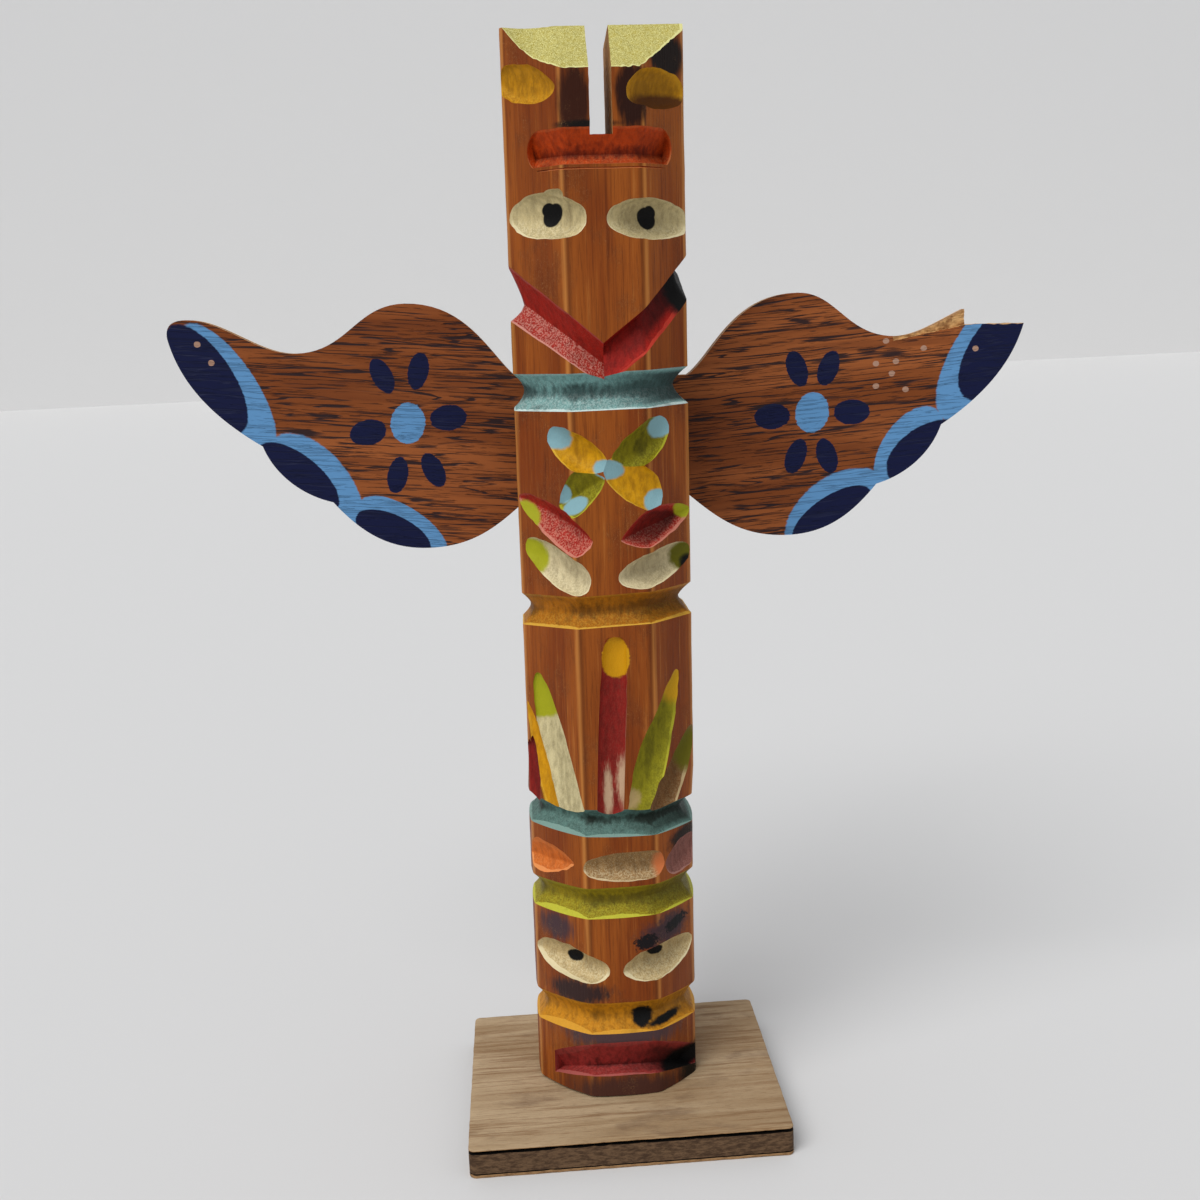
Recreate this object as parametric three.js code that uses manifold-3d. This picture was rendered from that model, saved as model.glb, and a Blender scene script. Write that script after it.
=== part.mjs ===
// A small carved and painted souvenir totem pole.
// One octagonal stick of soft wood is ringed with five V grooves and carved all down its front.
// One plywood board, cut as a pair of wings, is let into a notch in the back of the stick.
// The stick stands on a three-ply base board. Millimetres, +Z up, front towards -Y,
// origin at the middle of the base's underside.

import * as THREE from 'three';
import { mergeVertices } from 'three/addons/utils/BufferGeometryUtils.js';
import Module from 'manifold-3d';

// ---------------------------------------------------------------- driving dimensions

const base = { width: 76, depth: 67, thickness: 7.2, cornerRadius: 1.6, edgeBevel: 0.5 };

const pole = {
  height: 250,
  halfWidthFoot: 19.4, // half across the flats at the foot
  halfWidthTop: 20.0, // half across the flats at the top
  leftCorner: 12.6, // leg of the corner planed off on the left
  rightCorner: 9.8, // leg of the corner planed off on the right
  softening: 0.9, // how far the arrises are rubbed down
  offsetX: -0.9, // where the foot stands on the base
  offsetY: 5.6,
  lean: 1.08, // degrees, the whole stick leans to the right
};

const wings = {
  centreX: 2.5, // the board sits a little to the right of the stick's axis
  thickness: 4.0,
  front: 15.4, // depth at which the board's front face lies behind the axis
  waistBottom: 142.4, // the narrow middle that passes behind the stick
  waistTop: 172.2,
  waistHalf: 20.6,
};

const gap = 0.3; // clearance between neighbouring pieces
const clear = 6; // how far a cutter reaches past the surface it cuts
const far = 40; // beyond the stick on every side

// Rings: height of the valley, reach up and down to the lips, depth, and the slant of the hand-cut groove
const rings = [
  { z: 170.7, up: 4.2, down: 4.2, depth: 2.4, slopeX: 0.019, slopeY: 0.012 },
  { z: 120.1, up: 3.8, down: 3.7, depth: 2.2, slopeX: 0.042, slopeY: -0.02 },
  { z: 70.2, up: 3.1, down: 3.5, depth: 2.1, slopeX: -0.024, slopeY: 0.008 },
  { z: 49.9, up: 3.8, down: 3.8, depth: 2.1, slopeX: 0.018, slopeY: -0.004 },
  { z: 19.7, up: 4.0, down: 4.0, depth: 2.2, slopeX: 0.01, slopeY: -0.045 },
];
const ringValley = 0.6; // half height of the blunt bottom of each ring

// The saw slot from front to back, and the slanted cut across the top of the forehead
const slot = { left: -1.2, rightFront: 3.5, rightBack: 5.4, bottom: 225.3 };
const browCut = { frontHeight: 239.2, slope: 0.92 };

// Grooves that wrap round the front: a bar, the two arms of the beak, and the mouth.
// from and to are the stations across the front between which the groove runs.
const barGroove = { z: 221.2, up: 5.8, down: 2.9, depth: 2.8, from: -14.4, to: 15.9, endRadius: 4.2 };
const beak = { meet: 0.5, z: 179.2, slope: 0.86, up: 3.0, down: 7.0, depth: 3.0, backTo: 12 };
const mouth = { z: 9.4, up: 4.6, down: 4.0, depth: 3.0, slope: -0.6, from: -17, to: 19.4, backTo: -9.4 };

// Gouge cuts. bearing: which way the cut faces, in degrees from the front towards the right;
// reach: distance of the cut's plane from the axis; across, z: its centre in that plane;
// slant: turn of its length in degrees; length, width, depth of the cut in that plane;
// full: 2 for an oval, less for a pointed leaf, more for a straight-sided channel;
// taper: how much the far end narrows; lean: how far the valley is pushed up (+) or down (-);
// sides: corners of the tool's section; above: a cut that runs out into the ring at this height.
const knife = 4; // a cut with two flat walls
const gouge = 10; // a cut with a round tool
const strokeSteps = 10; // runs along the length of each cut
const left = -45;
const right = 45;
const fanFoot = 69.5; // the long cuts run out into the third ring
const gouges = [
  // ears
  { bearing: left, reach: 19.2, across: -0.8, z: 236.6, slant: -9, length: 18, width: 9.2, depth: 1.7,
    full: 1.9, taper: 0.25, lean: -0.3, sides: gouge },
  { bearing: 36, reach: 21.7, across: 1.8, z: 234.8, slant: 3, length: 21, width: 9.4, depth: 3.0,
    full: 1.8, taper: -0.15, lean: -0.4, sides: gouge },
  // upper eyes
  { bearing: -34, reach: 20.4, across: -0.6, z: 209.0, slant: -2, length: 28, width: 10.2, depth: 4.0,
    full: 2, taper: 0, lean: 0, sides: gouge },
  { bearing: 27.5, reach: 22.1, across: 2.2, z: 207.6, slant: -1, length: 30, width: 8.8, depth: 5.0,
    full: 2, taper: 0, lean: 0, sides: gouge },
  // four petals of the flower
  { bearing: -21.3, reach: 20.95, across: 1.0, z: 157.0, slant: -30.5, length: 24, width: 9.8, depth: 3.8,
    full: 2.2, taper: 0, lean: 0, sides: gouge },
  { bearing: 18, reach: 21.8, across: 1.9, z: 157.9, slant: 34.6, length: 25, width: 9.4, depth: 3.8,
    full: 2, taper: 0, lean: -0.3, sides: gouge },
  { bearing: 11.5, reach: 21.3, across: 2.9, z: 148.7, slant: -34, length: 21, width: 9.0, depth: 3.2,
    full: 2.2, taper: 0, lean: 0, sides: gouge },
  { bearing: -16.7, reach: 20.9, across: 0.1, z: 147.2, slant: 33, length: 17, width: 9.4, depth: 3.0,
    full: 2.2, taper: 0, lean: 0, sides: knife },
  // two red leaves and two pale ones under the flower
  { bearing: -37, reach: 20.0, across: -0.6, z: 140.3, slant: -24, length: 27, width: 9.2, depth: 3.6,
    full: 2, taper: -0.15, lean: 0.5, sides: knife },
  { bearing: 28.8, reach: 22.0, across: 2.2, z: 140.0, slant: 16.5, length: 28, width: 9.2, depth: 4.8,
    full: 2, taper: 0.1, lean: -0.2, sides: knife },
  { bearing: -39, reach: 19.8, across: 0.1, z: 130.3, slant: -27, length: 25, width: 8.8, depth: 3.0,
    full: 2.2, taper: -0.1, lean: 0, sides: gouge },
  { bearing: 28.5, reach: 22.0, across: 2.3, z: 130.3, slant: 15, length: 28, width: 8.0, depth: 4.8,
    full: 2, taper: 0, lean: 0, sides: gouge },
  // the fan of long cuts over the third ring
  { bearing: 0, reach: 19.65, across: 1.4, z: 84, slant: 90, length: 61, width: 6.3, depth: 1.7,
    full: 5, taper: 0, lean: 0, sides: gouge, above: fanFoot },
  { bearing: left, reach: 18.9, across: 2.2, z: 79, slant: -75, length: 52, width: 9.6, depth: 1.8,
    full: 1.6, taper: -0.15, lean: 0, sides: gouge, above: fanFoot },
  { bearing: left, reach: 18.9, across: -2.6, z: 77, slant: -74, length: 40, width: 4.6, depth: 1.4,
    full: 1.8, taper: 0, lean: 0, sides: knife, above: fanFoot },
  { bearing: -63, reach: 19.9, across: -2.2, z: 72, slant: 90, length: 25, width: 5.4, depth: 1.6,
    full: 1.8, taper: 0, lean: 0, sides: knife, above: fanFoot },
  { bearing: 29.5, reach: 22.0, across: 1.1, z: 90.0, slant: 67.5, length: 45, width: 9.0, depth: 3.4,
    full: 1.8, taper: 0.15, lean: 0, sides: gouge, above: fanFoot },
  { bearing: 40, reach: 21.4, across: 1.0, z: 77.5, slant: 56, length: 31, width: 8.0, depth: 2.6,
    full: 1.8, taper: 0.1, lean: 0, sides: gouge, above: fanFoot },
  // three cuts between the third and fourth rings
  { bearing: left, reach: 18.85, across: -3.0, z: 58.6, slant: -8, length: 20, width: 8.2, depth: 1.8,
    full: 2, taper: 0.2, lean: 0, sides: gouge },
  { bearing: 2.4, reach: 19.6, across: 2.0, z: 58.8, slant: 0, length: 24, width: 7.6, depth: 2.2,
    full: 3, taper: 0, lean: 0, sides: gouge },
  { bearing: right, reach: 20.85, across: 3.6, z: 59.0, slant: 8, length: 15, width: 8.2, depth: 1.9,
    full: 2, taper: 0, lean: 0, sides: gouge },
  // lower eyes
  { bearing: -34.2, reach: 20.2, across: -0.9, z: 33.5, slant: -9, length: 32, width: 9.4, depth: 4.2,
    full: 2, taper: 0, lean: 0, sides: gouge },
  { bearing: 26.8, reach: 21.9, across: 2.1, z: 34.0, slant: 8, length: 32, width: 9.0, depth: 5.0,
    full: 2, taper: 0, lean: 0, sides: gouge },
];

// One half of the wings, outward from the board's middle: each step is a curve with its two handles
const wingTip = { x: 105.2, z: 184.5 };
const wingSteps = [
  [[27, 176.5], [32, 191.3], [48, 191.3]], // up over the shoulder
  [[58, 191.3], [60, 180.1], [73, 180.1]], // down into the dip
  [[82, 180.1], [90, 188.8], [100.5, 188.8]], // out along the top of the tip
  [[103, 188.8], [105.6, 188.2], [wingTip.x, wingTip.z]],
  [[103, 174], [96, 165.5], [84.2, 158]], // three scallops back along the lower edge
  [[82, 151.5], [76, 145.8], [67.9, 143.7]],
  [[61.5, 136], [55, 131.5], [45, 131.5]],
  [[34, 131.5], [28, 136], [wings.waistHalf, wings.waistBottom]],
];
const curveSteps = 7; // straight runs in each curve

// The right tip is broken: its top is split off along the grain and the face veneer is torn back
const tipBreak = { x: 90.0, grainHeight: 182.4, tearStart: 72, tearDrop: 3.4, veneer: 1.1 };

// ---------------------------------------------------------------- solids

const wasm = await Module();
wasm.setup();

function solidOf(geometry) {
  const bare = geometry.clone();
  bare.deleteAttribute('normal');
  bare.deleteAttribute('uv');
  const merged = mergeVertices(bare, 1e-5);
  return new wasm.Manifold(new wasm.Mesh({
    numProp: 3,
    vertProperties: new Float32Array(merged.attributes.position.array),
    triVerts: new Uint32Array(merged.index.array),
  }));
}

function geometryOf(solid) {
  const mesh = solid.getMesh();
  const geometry = new THREE.BufferGeometry();
  geometry.setAttribute('position', new THREE.BufferAttribute(new Float32Array(mesh.vertProperties), 3));
  geometry.setIndex(new THREE.BufferAttribute(new Uint32Array(mesh.triVerts), 1));
  geometry.computeVertexNormals();
  return geometry;
}

function box(x0, x1, y0, y1, z0, z1) {
  const geometry = new THREE.BoxGeometry(x1 - x0, y1 - y0, z1 - z0);
  geometry.translate((x0 + x1) / 2, (y0 + y1) / 2, (z0 + z1) / 2);
  return solidOf(geometry);
}

// ---------------------------------------------------------------- the octagonal stick

const sectionPoints = 16; // eight corners, each rubbed down to two points

function halfWidthAt(z) {
  return pole.halfWidthFoot + (pole.halfWidthTop - pole.halfWidthFoot) * (z / pole.height);
}

// The stick's section at one height, drawn in by inset, counter-clockwise from the front
function section(z, inset) {
  const a = halfWidthAt(z) - inset;
  const drawn = inset * (2 - Math.SQRT2);
  const l = pole.leftCorner - drawn;
  const r = pole.rightCorner - drawn;
  const corners = [
    [-a + l, -a], [a - r, -a], [a, -a + r], [a, a - r],
    [a - r, a], [-a + l, a], [-a, a - l], [-a, -a + l],
  ].map(([x, y]) => new THREE.Vector2(x, y));
  const points = [];
  corners.forEach((corner, i) => {
    const before = corners[(i + corners.length - 1) % corners.length];
    const after = corners[(i + 1) % corners.length];
    for (const neighbour of [before, after]) {
      points.push(corner.clone().lerp(neighbour, pole.softening / corner.distanceTo(neighbour)));
    }
  });
  return points;
}

// A solid through a pile of sections, each at its own height, inset and slant
function stack(levels) {
  const last = levels.length - 1;
  const geometry = new THREE.CylinderGeometry(1, 1, last, sectionPoints, last);
  geometry.rotateX(Math.PI / 2);
  const position = geometry.attributes.position;
  for (let i = 0; i < position.count; i += 1) {
    const turn = Math.atan2(position.getX(i), -position.getY(i)) / (2 * Math.PI);
    const onAxis = Math.hypot(position.getX(i), position.getY(i)) < 0.5;
    const level = levels[Math.round(position.getZ(i) + last / 2)];
    const step = (Math.round(turn * sectionPoints) + sectionPoints) % sectionPoints;
    const point = onAxis ? new THREE.Vector2() : section(level.z, level.inset)[step];
    const rise = (level.slopeX ?? 0) * point.x + (level.slopeY ?? 0) * point.y;
    position.setXYZ(i, point.x, point.y, level.z + rise);
  }
  return solidOf(geometry);
}

function turnedStick() {
  const levels = [{ z: gap, inset: 0, slopeX: Math.tan(THREE.MathUtils.degToRad(pole.lean)) }];
  for (const ring of [...rings].reverse()) {
    levels.push({ ...ring, z: ring.z - ring.down, inset: 0 });
    levels.push({ ...ring, z: ring.z - ringValley, inset: ring.depth });
    levels.push({ ...ring, z: ring.z + ringValley, inset: ring.depth });
    levels.push({ ...ring, z: ring.z + ring.up, inset: 0 });
  }
  levels.push({ z: pole.height, inset: 0 });
  return stack(levels);
}

// ---------------------------------------------------------------- what is cut from it

// A V groove right round the stick, as a band to cut away, with its walls carried on past the lips
function grooveBand({ z, up, down, depth, slopeX = 0, slopeY = 0 }) {
  const past = 1.5;
  const high = z + up * past;
  const low = z - down * past;
  const walls = -depth * (past - 1);
  const waist = stack([
    { z: low, inset: walls, slopeX, slopeY },
    { z, inset: depth, slopeX, slopeY },
    { z: high, inset: walls, slopeX, slopeY },
  ]);
  const outside = stack([
    { z: low + 0.01, inset: walls - clear, slopeX, slopeY },
    { z: high - 0.01, inset: walls - clear, slopeX, slopeY },
  ]);
  return outside.subtract(waist);
}

// A spindle-shaped stroke of the knife or gouge, set against the face it is cut in
function gougeCut(cut) {
  const { bearing, reach, across, z, slant, length, width, depth, full, taper, lean, sides, above } = cut;
  const facing = THREE.MathUtils.degToRad(bearing);
  const turn = THREE.MathUtils.degToRad(slant);
  const n = new THREE.Vector3(Math.sin(facing), -Math.cos(facing), 0);
  const t = new THREE.Vector3(-n.y, n.x, 0);
  const up = new THREE.Vector3(0, 0, 1);
  const along = t.clone().multiplyScalar(Math.cos(turn)).addScaledVector(up, Math.sin(turn));
  const over = t.clone().multiplyScalar(-Math.sin(turn)).addScaledVector(up, Math.cos(turn));
  const centre = n.clone().multiplyScalar(reach).addScaledVector(t, across).addScaledVector(up, z);
  const geometry = new THREE.SphereGeometry(1, sides, strokeSteps);
  geometry.rotateZ(-Math.PI / 2);
  const position = geometry.attributes.position;
  for (let i = 0; i < position.count; i += 1) {
    const girth = Math.hypot(position.getY(i), position.getZ(i));
    const swell = girth < 1e-6 ? 0 : girth ** (2 / full - 1);
    const l = Math.sign(position.getX(i)) * Math.abs(position.getX(i)) ** (2 / full);
    const out = position.getZ(i) * swell * depth;
    const w = position.getY(i) * swell * (width / 2) * (1 - taper * l) - lean * out;
    const place = centre.clone().addScaledVector(along, l * (length / 2));
    place.addScaledVector(over, w).addScaledVector(n, out);
    position.setXYZ(i, place.x, place.y, place.z);
  }
  const stroke = solidOf(geometry);
  return above ? stroke.intersect(box(-far, far, -far, far, above, pole.height)) : stroke;
}

function barCut() {
  const { z, up, down, from, to, endRadius } = barGroove;
  const outline = new THREE.Shape();
  outline.absarc(to - endRadius, 0, endRadius, -Math.PI / 2, Math.PI / 2, false);
  outline.absarc(from + endRadius, 0, endRadius, Math.PI / 2, Math.PI * 1.5, false);
  const prism = new THREE.ExtrudeGeometry(outline, { depth: far, bevelEnabled: false, curveSegments: 6 });
  prism.rotateX(Math.PI / 2);
  prism.translate(0, 0, z + (up - down) / 2);
  return grooveBand(barGroove).intersect(solidOf(prism));
}

function beakCut() {
  const { meet, z, slope, backTo } = beak;
  const arms = [-1, 1].map((side) => {
    const band = grooveBand({ ...beak, z: z - side * slope * meet, slopeX: side * slope });
    const [x0, x1] = side < 0 ? [-far, meet] : [meet, far];
    return band.intersect(box(x0, x1, -far, backTo, 0, pole.height));
  });
  return arms[0].add(arms[1]);
}

function mouthCut() {
  const front = halfWidthAt(mouth.z);
  const band = grooveBand({ ...mouth, z: mouth.z + mouth.slope * front, slopeY: mouth.slope });
  return band.intersect(box(mouth.from, mouth.to, -far, mouth.backTo, -far, far));
}

function slotCut() {
  const outline = new THREE.Shape();
  const flare = (slot.rightBack - slot.rightFront) / (2 * halfWidthAt(slot.bottom));
  const middle = (slot.rightFront + slot.rightBack) / 2;
  outline.moveTo(slot.left, -far);
  outline.lineTo(middle - flare * far, -far);
  outline.lineTo(middle + flare * far, far);
  outline.lineTo(slot.left, far);
  const prism = new THREE.ExtrudeGeometry(outline, { depth: far, bevelEnabled: false });
  prism.translate(0, 0, slot.bottom);
  return solidOf(prism);
}

function browSlope() {
  const { frontHeight, slope } = browCut;
  const front = -halfWidthAt(frontHeight);
  const past = 20;
  const outline = new THREE.Shape();
  outline.moveTo(front - clear, frontHeight - slope * clear);
  outline.lineTo(front + past, frontHeight + slope * past);
  outline.lineTo(front - clear, frontHeight + slope * past);
  const prism = new THREE.ExtrudeGeometry(outline, { depth: 2 * far, bevelEnabled: false });
  prism.rotateX(Math.PI / 2);
  prism.rotateZ(Math.PI / 2);
  prism.translate(-far, 0, 0);
  return solidOf(prism);
}

function wingNotch() {
  return box(-far, far, wings.front - gap, far, wings.waistBottom - gap, wings.waistTop + gap);
}

function makePole() {
  const cuts = [barCut(), beakCut(), mouthCut(), slotCut(), browSlope(), wingNotch()];
  cuts.push(...gouges.map(gougeCut));
  return cuts.reduce((solid, cut) => solid.subtract(cut), turnedStick());
}

// ---------------------------------------------------------------- the wing board

function makeWings() {
  const half = new THREE.Path();
  half.moveTo(wings.waistHalf, wings.waistTop);
  for (const [a, b, end] of wingSteps) {
    half.bezierCurveTo(...a, ...b, ...end);
  }
  const points = half.getPoints(curveSteps);
  const mirrored = points.map((p) => new THREE.Vector2(-p.x, p.y)).reverse();
  const outline = new THREE.Shape([...points, ...mirrored]);
  const board = new THREE.ExtrudeGeometry(outline, { depth: wings.thickness, bevelEnabled: false });
  board.rotateX(Math.PI / 2);
  board.translate(0, wings.front + wings.thickness, 0);
  const { x, grainHeight, tearStart, tearDrop, veneer } = tipBreak;
  const top = grainHeight + far;
  const splitOff = box(x, x + far, 0, far, grainHeight, top);
  const tear = new THREE.Shape();
  tear.moveTo(tearStart, grainHeight - tearDrop);
  tear.lineTo(x + 1, grainHeight);
  tear.lineTo(x + 1, top);
  tear.lineTo(tearStart, top);
  const tornVeneer = new THREE.ExtrudeGeometry(tear, { depth: 10 + veneer, bevelEnabled: false });
  tornVeneer.rotateX(Math.PI / 2);
  tornVeneer.translate(0, wings.front + veneer, 0);
  return solidOf(board).subtract(splitOff).subtract(solidOf(tornVeneer));
}

// ---------------------------------------------------------------- the base board

function makeBase() {
  const { width, depth, thickness, cornerRadius: r, edgeBevel } = base;
  const x = width / 2 - edgeBevel;
  const y = depth / 2 - edgeBevel;
  const outline = new THREE.Shape();
  outline.absarc(x - r, y - r, r, 0, Math.PI / 2, false);
  outline.absarc(-x + r, y - r, r, Math.PI / 2, Math.PI, false);
  outline.absarc(-x + r, -y + r, r, Math.PI, Math.PI * 1.5, false);
  outline.absarc(x - r, -y + r, r, Math.PI * 1.5, Math.PI * 2, false);
  const board = new THREE.ExtrudeGeometry(outline, {
    depth: thickness - 2 * edgeBevel, bevelThickness: edgeBevel, bevelSize: edgeBevel,
    bevelSegments: 1, curveSegments: 4,
  });
  board.translate(0, 0, edgeBevel);
  return solidOf(board);
}

// ---------------------------------------------------------------- the assembly

function piece(name, solid, color, roughness) {
  const material = new THREE.MeshStandardMaterial({ color, roughness, metalness: 0, flatShading: true });
  const mesh = new THREE.Mesh(geometryOf(solid), material);
  mesh.name = name;
  return mesh;
}

const totem = new THREE.Group();
totem.add(piece('base', makeBase(), 0x9c7a54, 0.85));

const upright = new THREE.Group();
upright.position.set(pole.offsetX, pole.offsetY, base.thickness);
upright.rotation.y = THREE.MathUtils.degToRad(pole.lean);
upright.add(piece('pole', makePole(), 0x9a5d27, 0.6));

const board = piece('wings', makeWings(), 0x7a431b, 0.55);
board.position.x = wings.centreX;
upright.add(board);
totem.add(upright);

export default totem;
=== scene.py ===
# %% [markdown]
# # A carved souvenir totem pole
# The object has three wooden pieces: an octagonal stick ringed and gouged down its front, a plywood
# board cut as a pair of wings and let into the back of the stick, and a plywood base board.
# The frame below brings in the plain solids, which fix every size. Each is then replaced by a finer
# piece of the same form, because carving and brushwork are what one looks at here.

# %% Open the frame
import math
from collections import namedtuple

import bpy
from mathutils import Matrix, Vector


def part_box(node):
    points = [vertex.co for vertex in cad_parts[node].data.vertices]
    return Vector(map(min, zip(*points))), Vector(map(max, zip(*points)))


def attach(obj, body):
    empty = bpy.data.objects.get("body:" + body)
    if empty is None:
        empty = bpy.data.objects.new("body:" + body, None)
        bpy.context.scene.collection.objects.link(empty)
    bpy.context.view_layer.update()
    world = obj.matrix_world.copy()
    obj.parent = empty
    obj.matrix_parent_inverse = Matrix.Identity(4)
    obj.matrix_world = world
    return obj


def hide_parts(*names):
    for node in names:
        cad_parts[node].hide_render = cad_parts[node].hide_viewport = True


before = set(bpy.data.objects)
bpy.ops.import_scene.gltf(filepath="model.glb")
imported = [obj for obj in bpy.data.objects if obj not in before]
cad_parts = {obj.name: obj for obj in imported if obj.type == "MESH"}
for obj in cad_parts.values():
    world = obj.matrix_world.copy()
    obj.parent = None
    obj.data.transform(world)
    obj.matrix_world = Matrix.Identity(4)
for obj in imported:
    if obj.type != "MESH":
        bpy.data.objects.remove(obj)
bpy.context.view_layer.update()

# %% [markdown]
# ## Sizes
# All the wood is worked in millimetres, standing straight up from its own foot, and only put in its
# leaning place at the end. That keeps each number the one a carver would measure on the stick.

# %% Sizes of the stick, and where it stands
MM = 0.001
HEIGHT = 250.0
HALF_TOP = 20.0  # half across the flats at the top
HALF_FOOT = 19.4  # half across the flats at the foot
LEFT_LEG = 12.6  # leg of the corner planed off on the left
RIGHT_LEG = 9.8  # leg of the corner planed off on the right
ARRIS = 0.9  # how far the sharp corners are rubbed down
GAP = 0.3  # clearance between neighbouring pieces
LEAN = math.radians(1.08)
BOARD_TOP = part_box("base")[1][2] / MM
FOOT = Vector((-0.9, 5.6, BOARD_TOP))
WING_SHIFT = 2.5  # the wing board sits a little to the right of the stick's axis
WING_FRONT = 15.4  # how far behind the axis the wing board's front face lies
WING_THICKNESS = 4.0
FAR = 60.0  # beyond the stick on every side


def half_width(z):
    """Half across the flats at that height of the stick."""
    return HALF_FOOT + (HALF_TOP - HALF_FOOT) * z / HEIGHT


# %% [markdown]
# ## Helpers for working on a mesh
# Blender's edit-mode operators act on whatever is selected. So each step first picks faces, edges or
# points in code, by where they are, and then runs one operator on them.

# %% Picking and shaping
def deselect():
    if bpy.context.object and bpy.context.object.mode != "OBJECT":
        bpy.ops.object.mode_set(mode="OBJECT")
    bpy.ops.object.select_all(action="DESELECT")


def name_new(name):
    """Names the primitive just added and settles its place and size into its mesh."""
    piece = bpy.context.object
    piece.name = name
    bpy.ops.object.transform_apply(location=True, rotation=True, scale=True)
    return piece


def edit(piece):
    deselect()
    piece.select_set(True)
    bpy.context.view_layer.objects.active = piece
    bpy.ops.object.mode_set(mode="EDIT")


def pick(piece, kind, test):
    """Goes into edit mode with just the points, edges or faces that pass the test selected."""
    edit(piece)
    bpy.ops.mesh.select_mode(type=kind)
    bpy.ops.mesh.select_all(action="DESELECT")
    bpy.ops.object.mode_set(mode="OBJECT")
    mesh = piece.data
    parts = {"VERT": mesh.vertices, "EDGE": mesh.edges, "FACE": mesh.polygons}[kind]
    for part in parts:
        part.select = test(part)
    bpy.ops.object.mode_set(mode="EDIT")


def ends(piece, edge):
    """The two end points of an edge."""
    return [piece.data.vertices[i].co for i in edge.vertices]


def apply_modifier(piece, kind, **settings):
    """Adds a modifier with those settings and applies it at once."""
    deselect()
    piece.select_set(True)
    bpy.context.view_layer.objects.active = piece
    modifier = piece.modifiers.new(kind.lower(), kind)
    for key, value in settings.items():
        setattr(modifier, key, value)
    bpy.ops.object.modifier_apply(modifier=modifier.name)


def roughen(piece, size, strength):
    """Moves the surface in and out by a soft noise, as a hand tool leaves it."""
    noise = bpy.data.textures.new("hand_wobble", "CLOUDS")
    noise.noise_scale = size
    noise.noise_depth = 2
    apply_modifier(piece, "DISPLACE", texture=noise, strength=strength, mid_level=0.5,
                   texture_coords="LOCAL")


def cut(piece, cutter):
    """Takes the cutter out of the piece. The cut faces keep the cutter's paint."""
    apply_modifier(piece, "BOOLEAN", object=cutter, operation="DIFFERENCE", solver="MANIFOLD")
    bpy.data.objects.remove(cutter, do_unlink=True)


# %% [markdown]
# ## The list of paints
# Every cut on the real stick was filled with one paint, right up to the edge of the cut. A Boolean
# gives each cut face the slot number of its cutter, so all the pieces of the stick share one list of
# slots, and the paint goes exactly where the knife went, with no mask to draw.

# %% Paints in the order of their slots
PAINTS = [
    "wood", "raw_saw", "brow_lime", "ear_ochre", "bar_orange", "eye_cream", "beak_red", "beak_rosy",
    "ring_sky", "ring_ochre", "ring_teal", "ring_lime", "ring_amber",
    "petal_yellow", "petal_green", "leaf_red", "leaf_cream",
    "stroke_red", "stroke_cream", "stroke_yellow", "stroke_green", "stroke_bare", "stroke_crimson",
    "gouge_orange", "gouge_cream", "gouge_mauve", "stern_eye", "mouth_red",
]
paint_materials = {name: bpy.data.materials.new(name) for name in PAINTS}


def give_paints(piece, paint):
    """Gives the piece the whole list of slots and paints all its faces with one of them."""
    for name in PAINTS:
        piece.data.materials.append(paint_materials[name])
    for face in piece.data.polygons:
        face.material_index = PAINTS.index(paint)


# %% [markdown]
# ## The octagonal stick
# It began as a square length of softwood with its corners planed off, the left ones more than the
# right. A cube whose upright edges are bevelled twice does the same: once wide, for the planing, and
# once narrow, for the rubbing that softened the arrises. Its flats are then divided into strips, so
# that everything done later has points to move.

# %% Square stick to octagon
SWELL = 0.45  # the right side stands out this much further
COLUMNS = 7  # cuts across each flat


def is_upright(piece, edge):
    a, b = ends(piece, edge)
    return abs(a.x - b.x) < 0.5 and abs(a.y - b.y) < 0.5


def plane_corner(piece, side, leg):
    """Planes off the two upright edges on one side, -1 for the left and 1 for the right."""
    pick(piece, "EDGE", lambda e: is_upright(piece, e) and ends(piece, e)[0].x * side > HALF_TOP - 0.5)
    bpy.ops.mesh.bevel(offset=leg, offset_type="OFFSET", segments=1, affect="EDGES")
    deselect()


def runs_across(piece, edge):
    a, b = ends(piece, edge)
    return not is_upright(piece, edge) and (a - b).length > 5


def add_stick(name):
    deselect()
    size = (2 * HALF_TOP, 2 * HALF_TOP, HEIGHT - GAP)
    bpy.ops.mesh.primitive_cube_add(size=1, location=(0, 0, (HEIGHT + GAP) / 2), scale=size)
    stick = name_new(name)
    plane_corner(stick, -1, LEFT_LEG)
    plane_corner(stick, 1, RIGHT_LEG)
    pick(stick, "VERT", lambda v: v.co.x > HALF_TOP - 0.5)
    bpy.ops.transform.translate(value=(SWELL, 0, 0))
    deselect()
    pick(stick, "EDGE", lambda e: is_upright(stick, e))
    bpy.ops.mesh.bevel(offset=ARRIS, offset_type="OFFSET", segments=3, affect="EDGES")
    deselect()
    pick(stick, "VERT", lambda v: v.co.z < 1)
    taper = HALF_FOOT / HALF_TOP
    bpy.ops.transform.resize(value=(taper, taper, 1), center_override=(0, 0, 0))
    deselect()
    pick(stick, "EDGE", lambda e: runs_across(stick, e))
    bpy.ops.mesh.subdivide(number_cuts=COLUMNS)
    deselect()
    return stick


stick = add_stick("carved_stick")
print("stick starts with", len(stick.data.polygons), "faces")

# %% [markdown]
# ## Grooves that go round
# A ring is a V groove with hollow walls. The stick is bisected at a run of heights and each new loop
# is drawn in, most in the middle. Each groove was cut by eye, so its loops are then tipped by a small
# slope, and a groove may open out to one side, when its two lips slope differently. Shear needs a
# window, so the tipping is written as a formula on the points, with the front face as its hinge.

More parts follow.
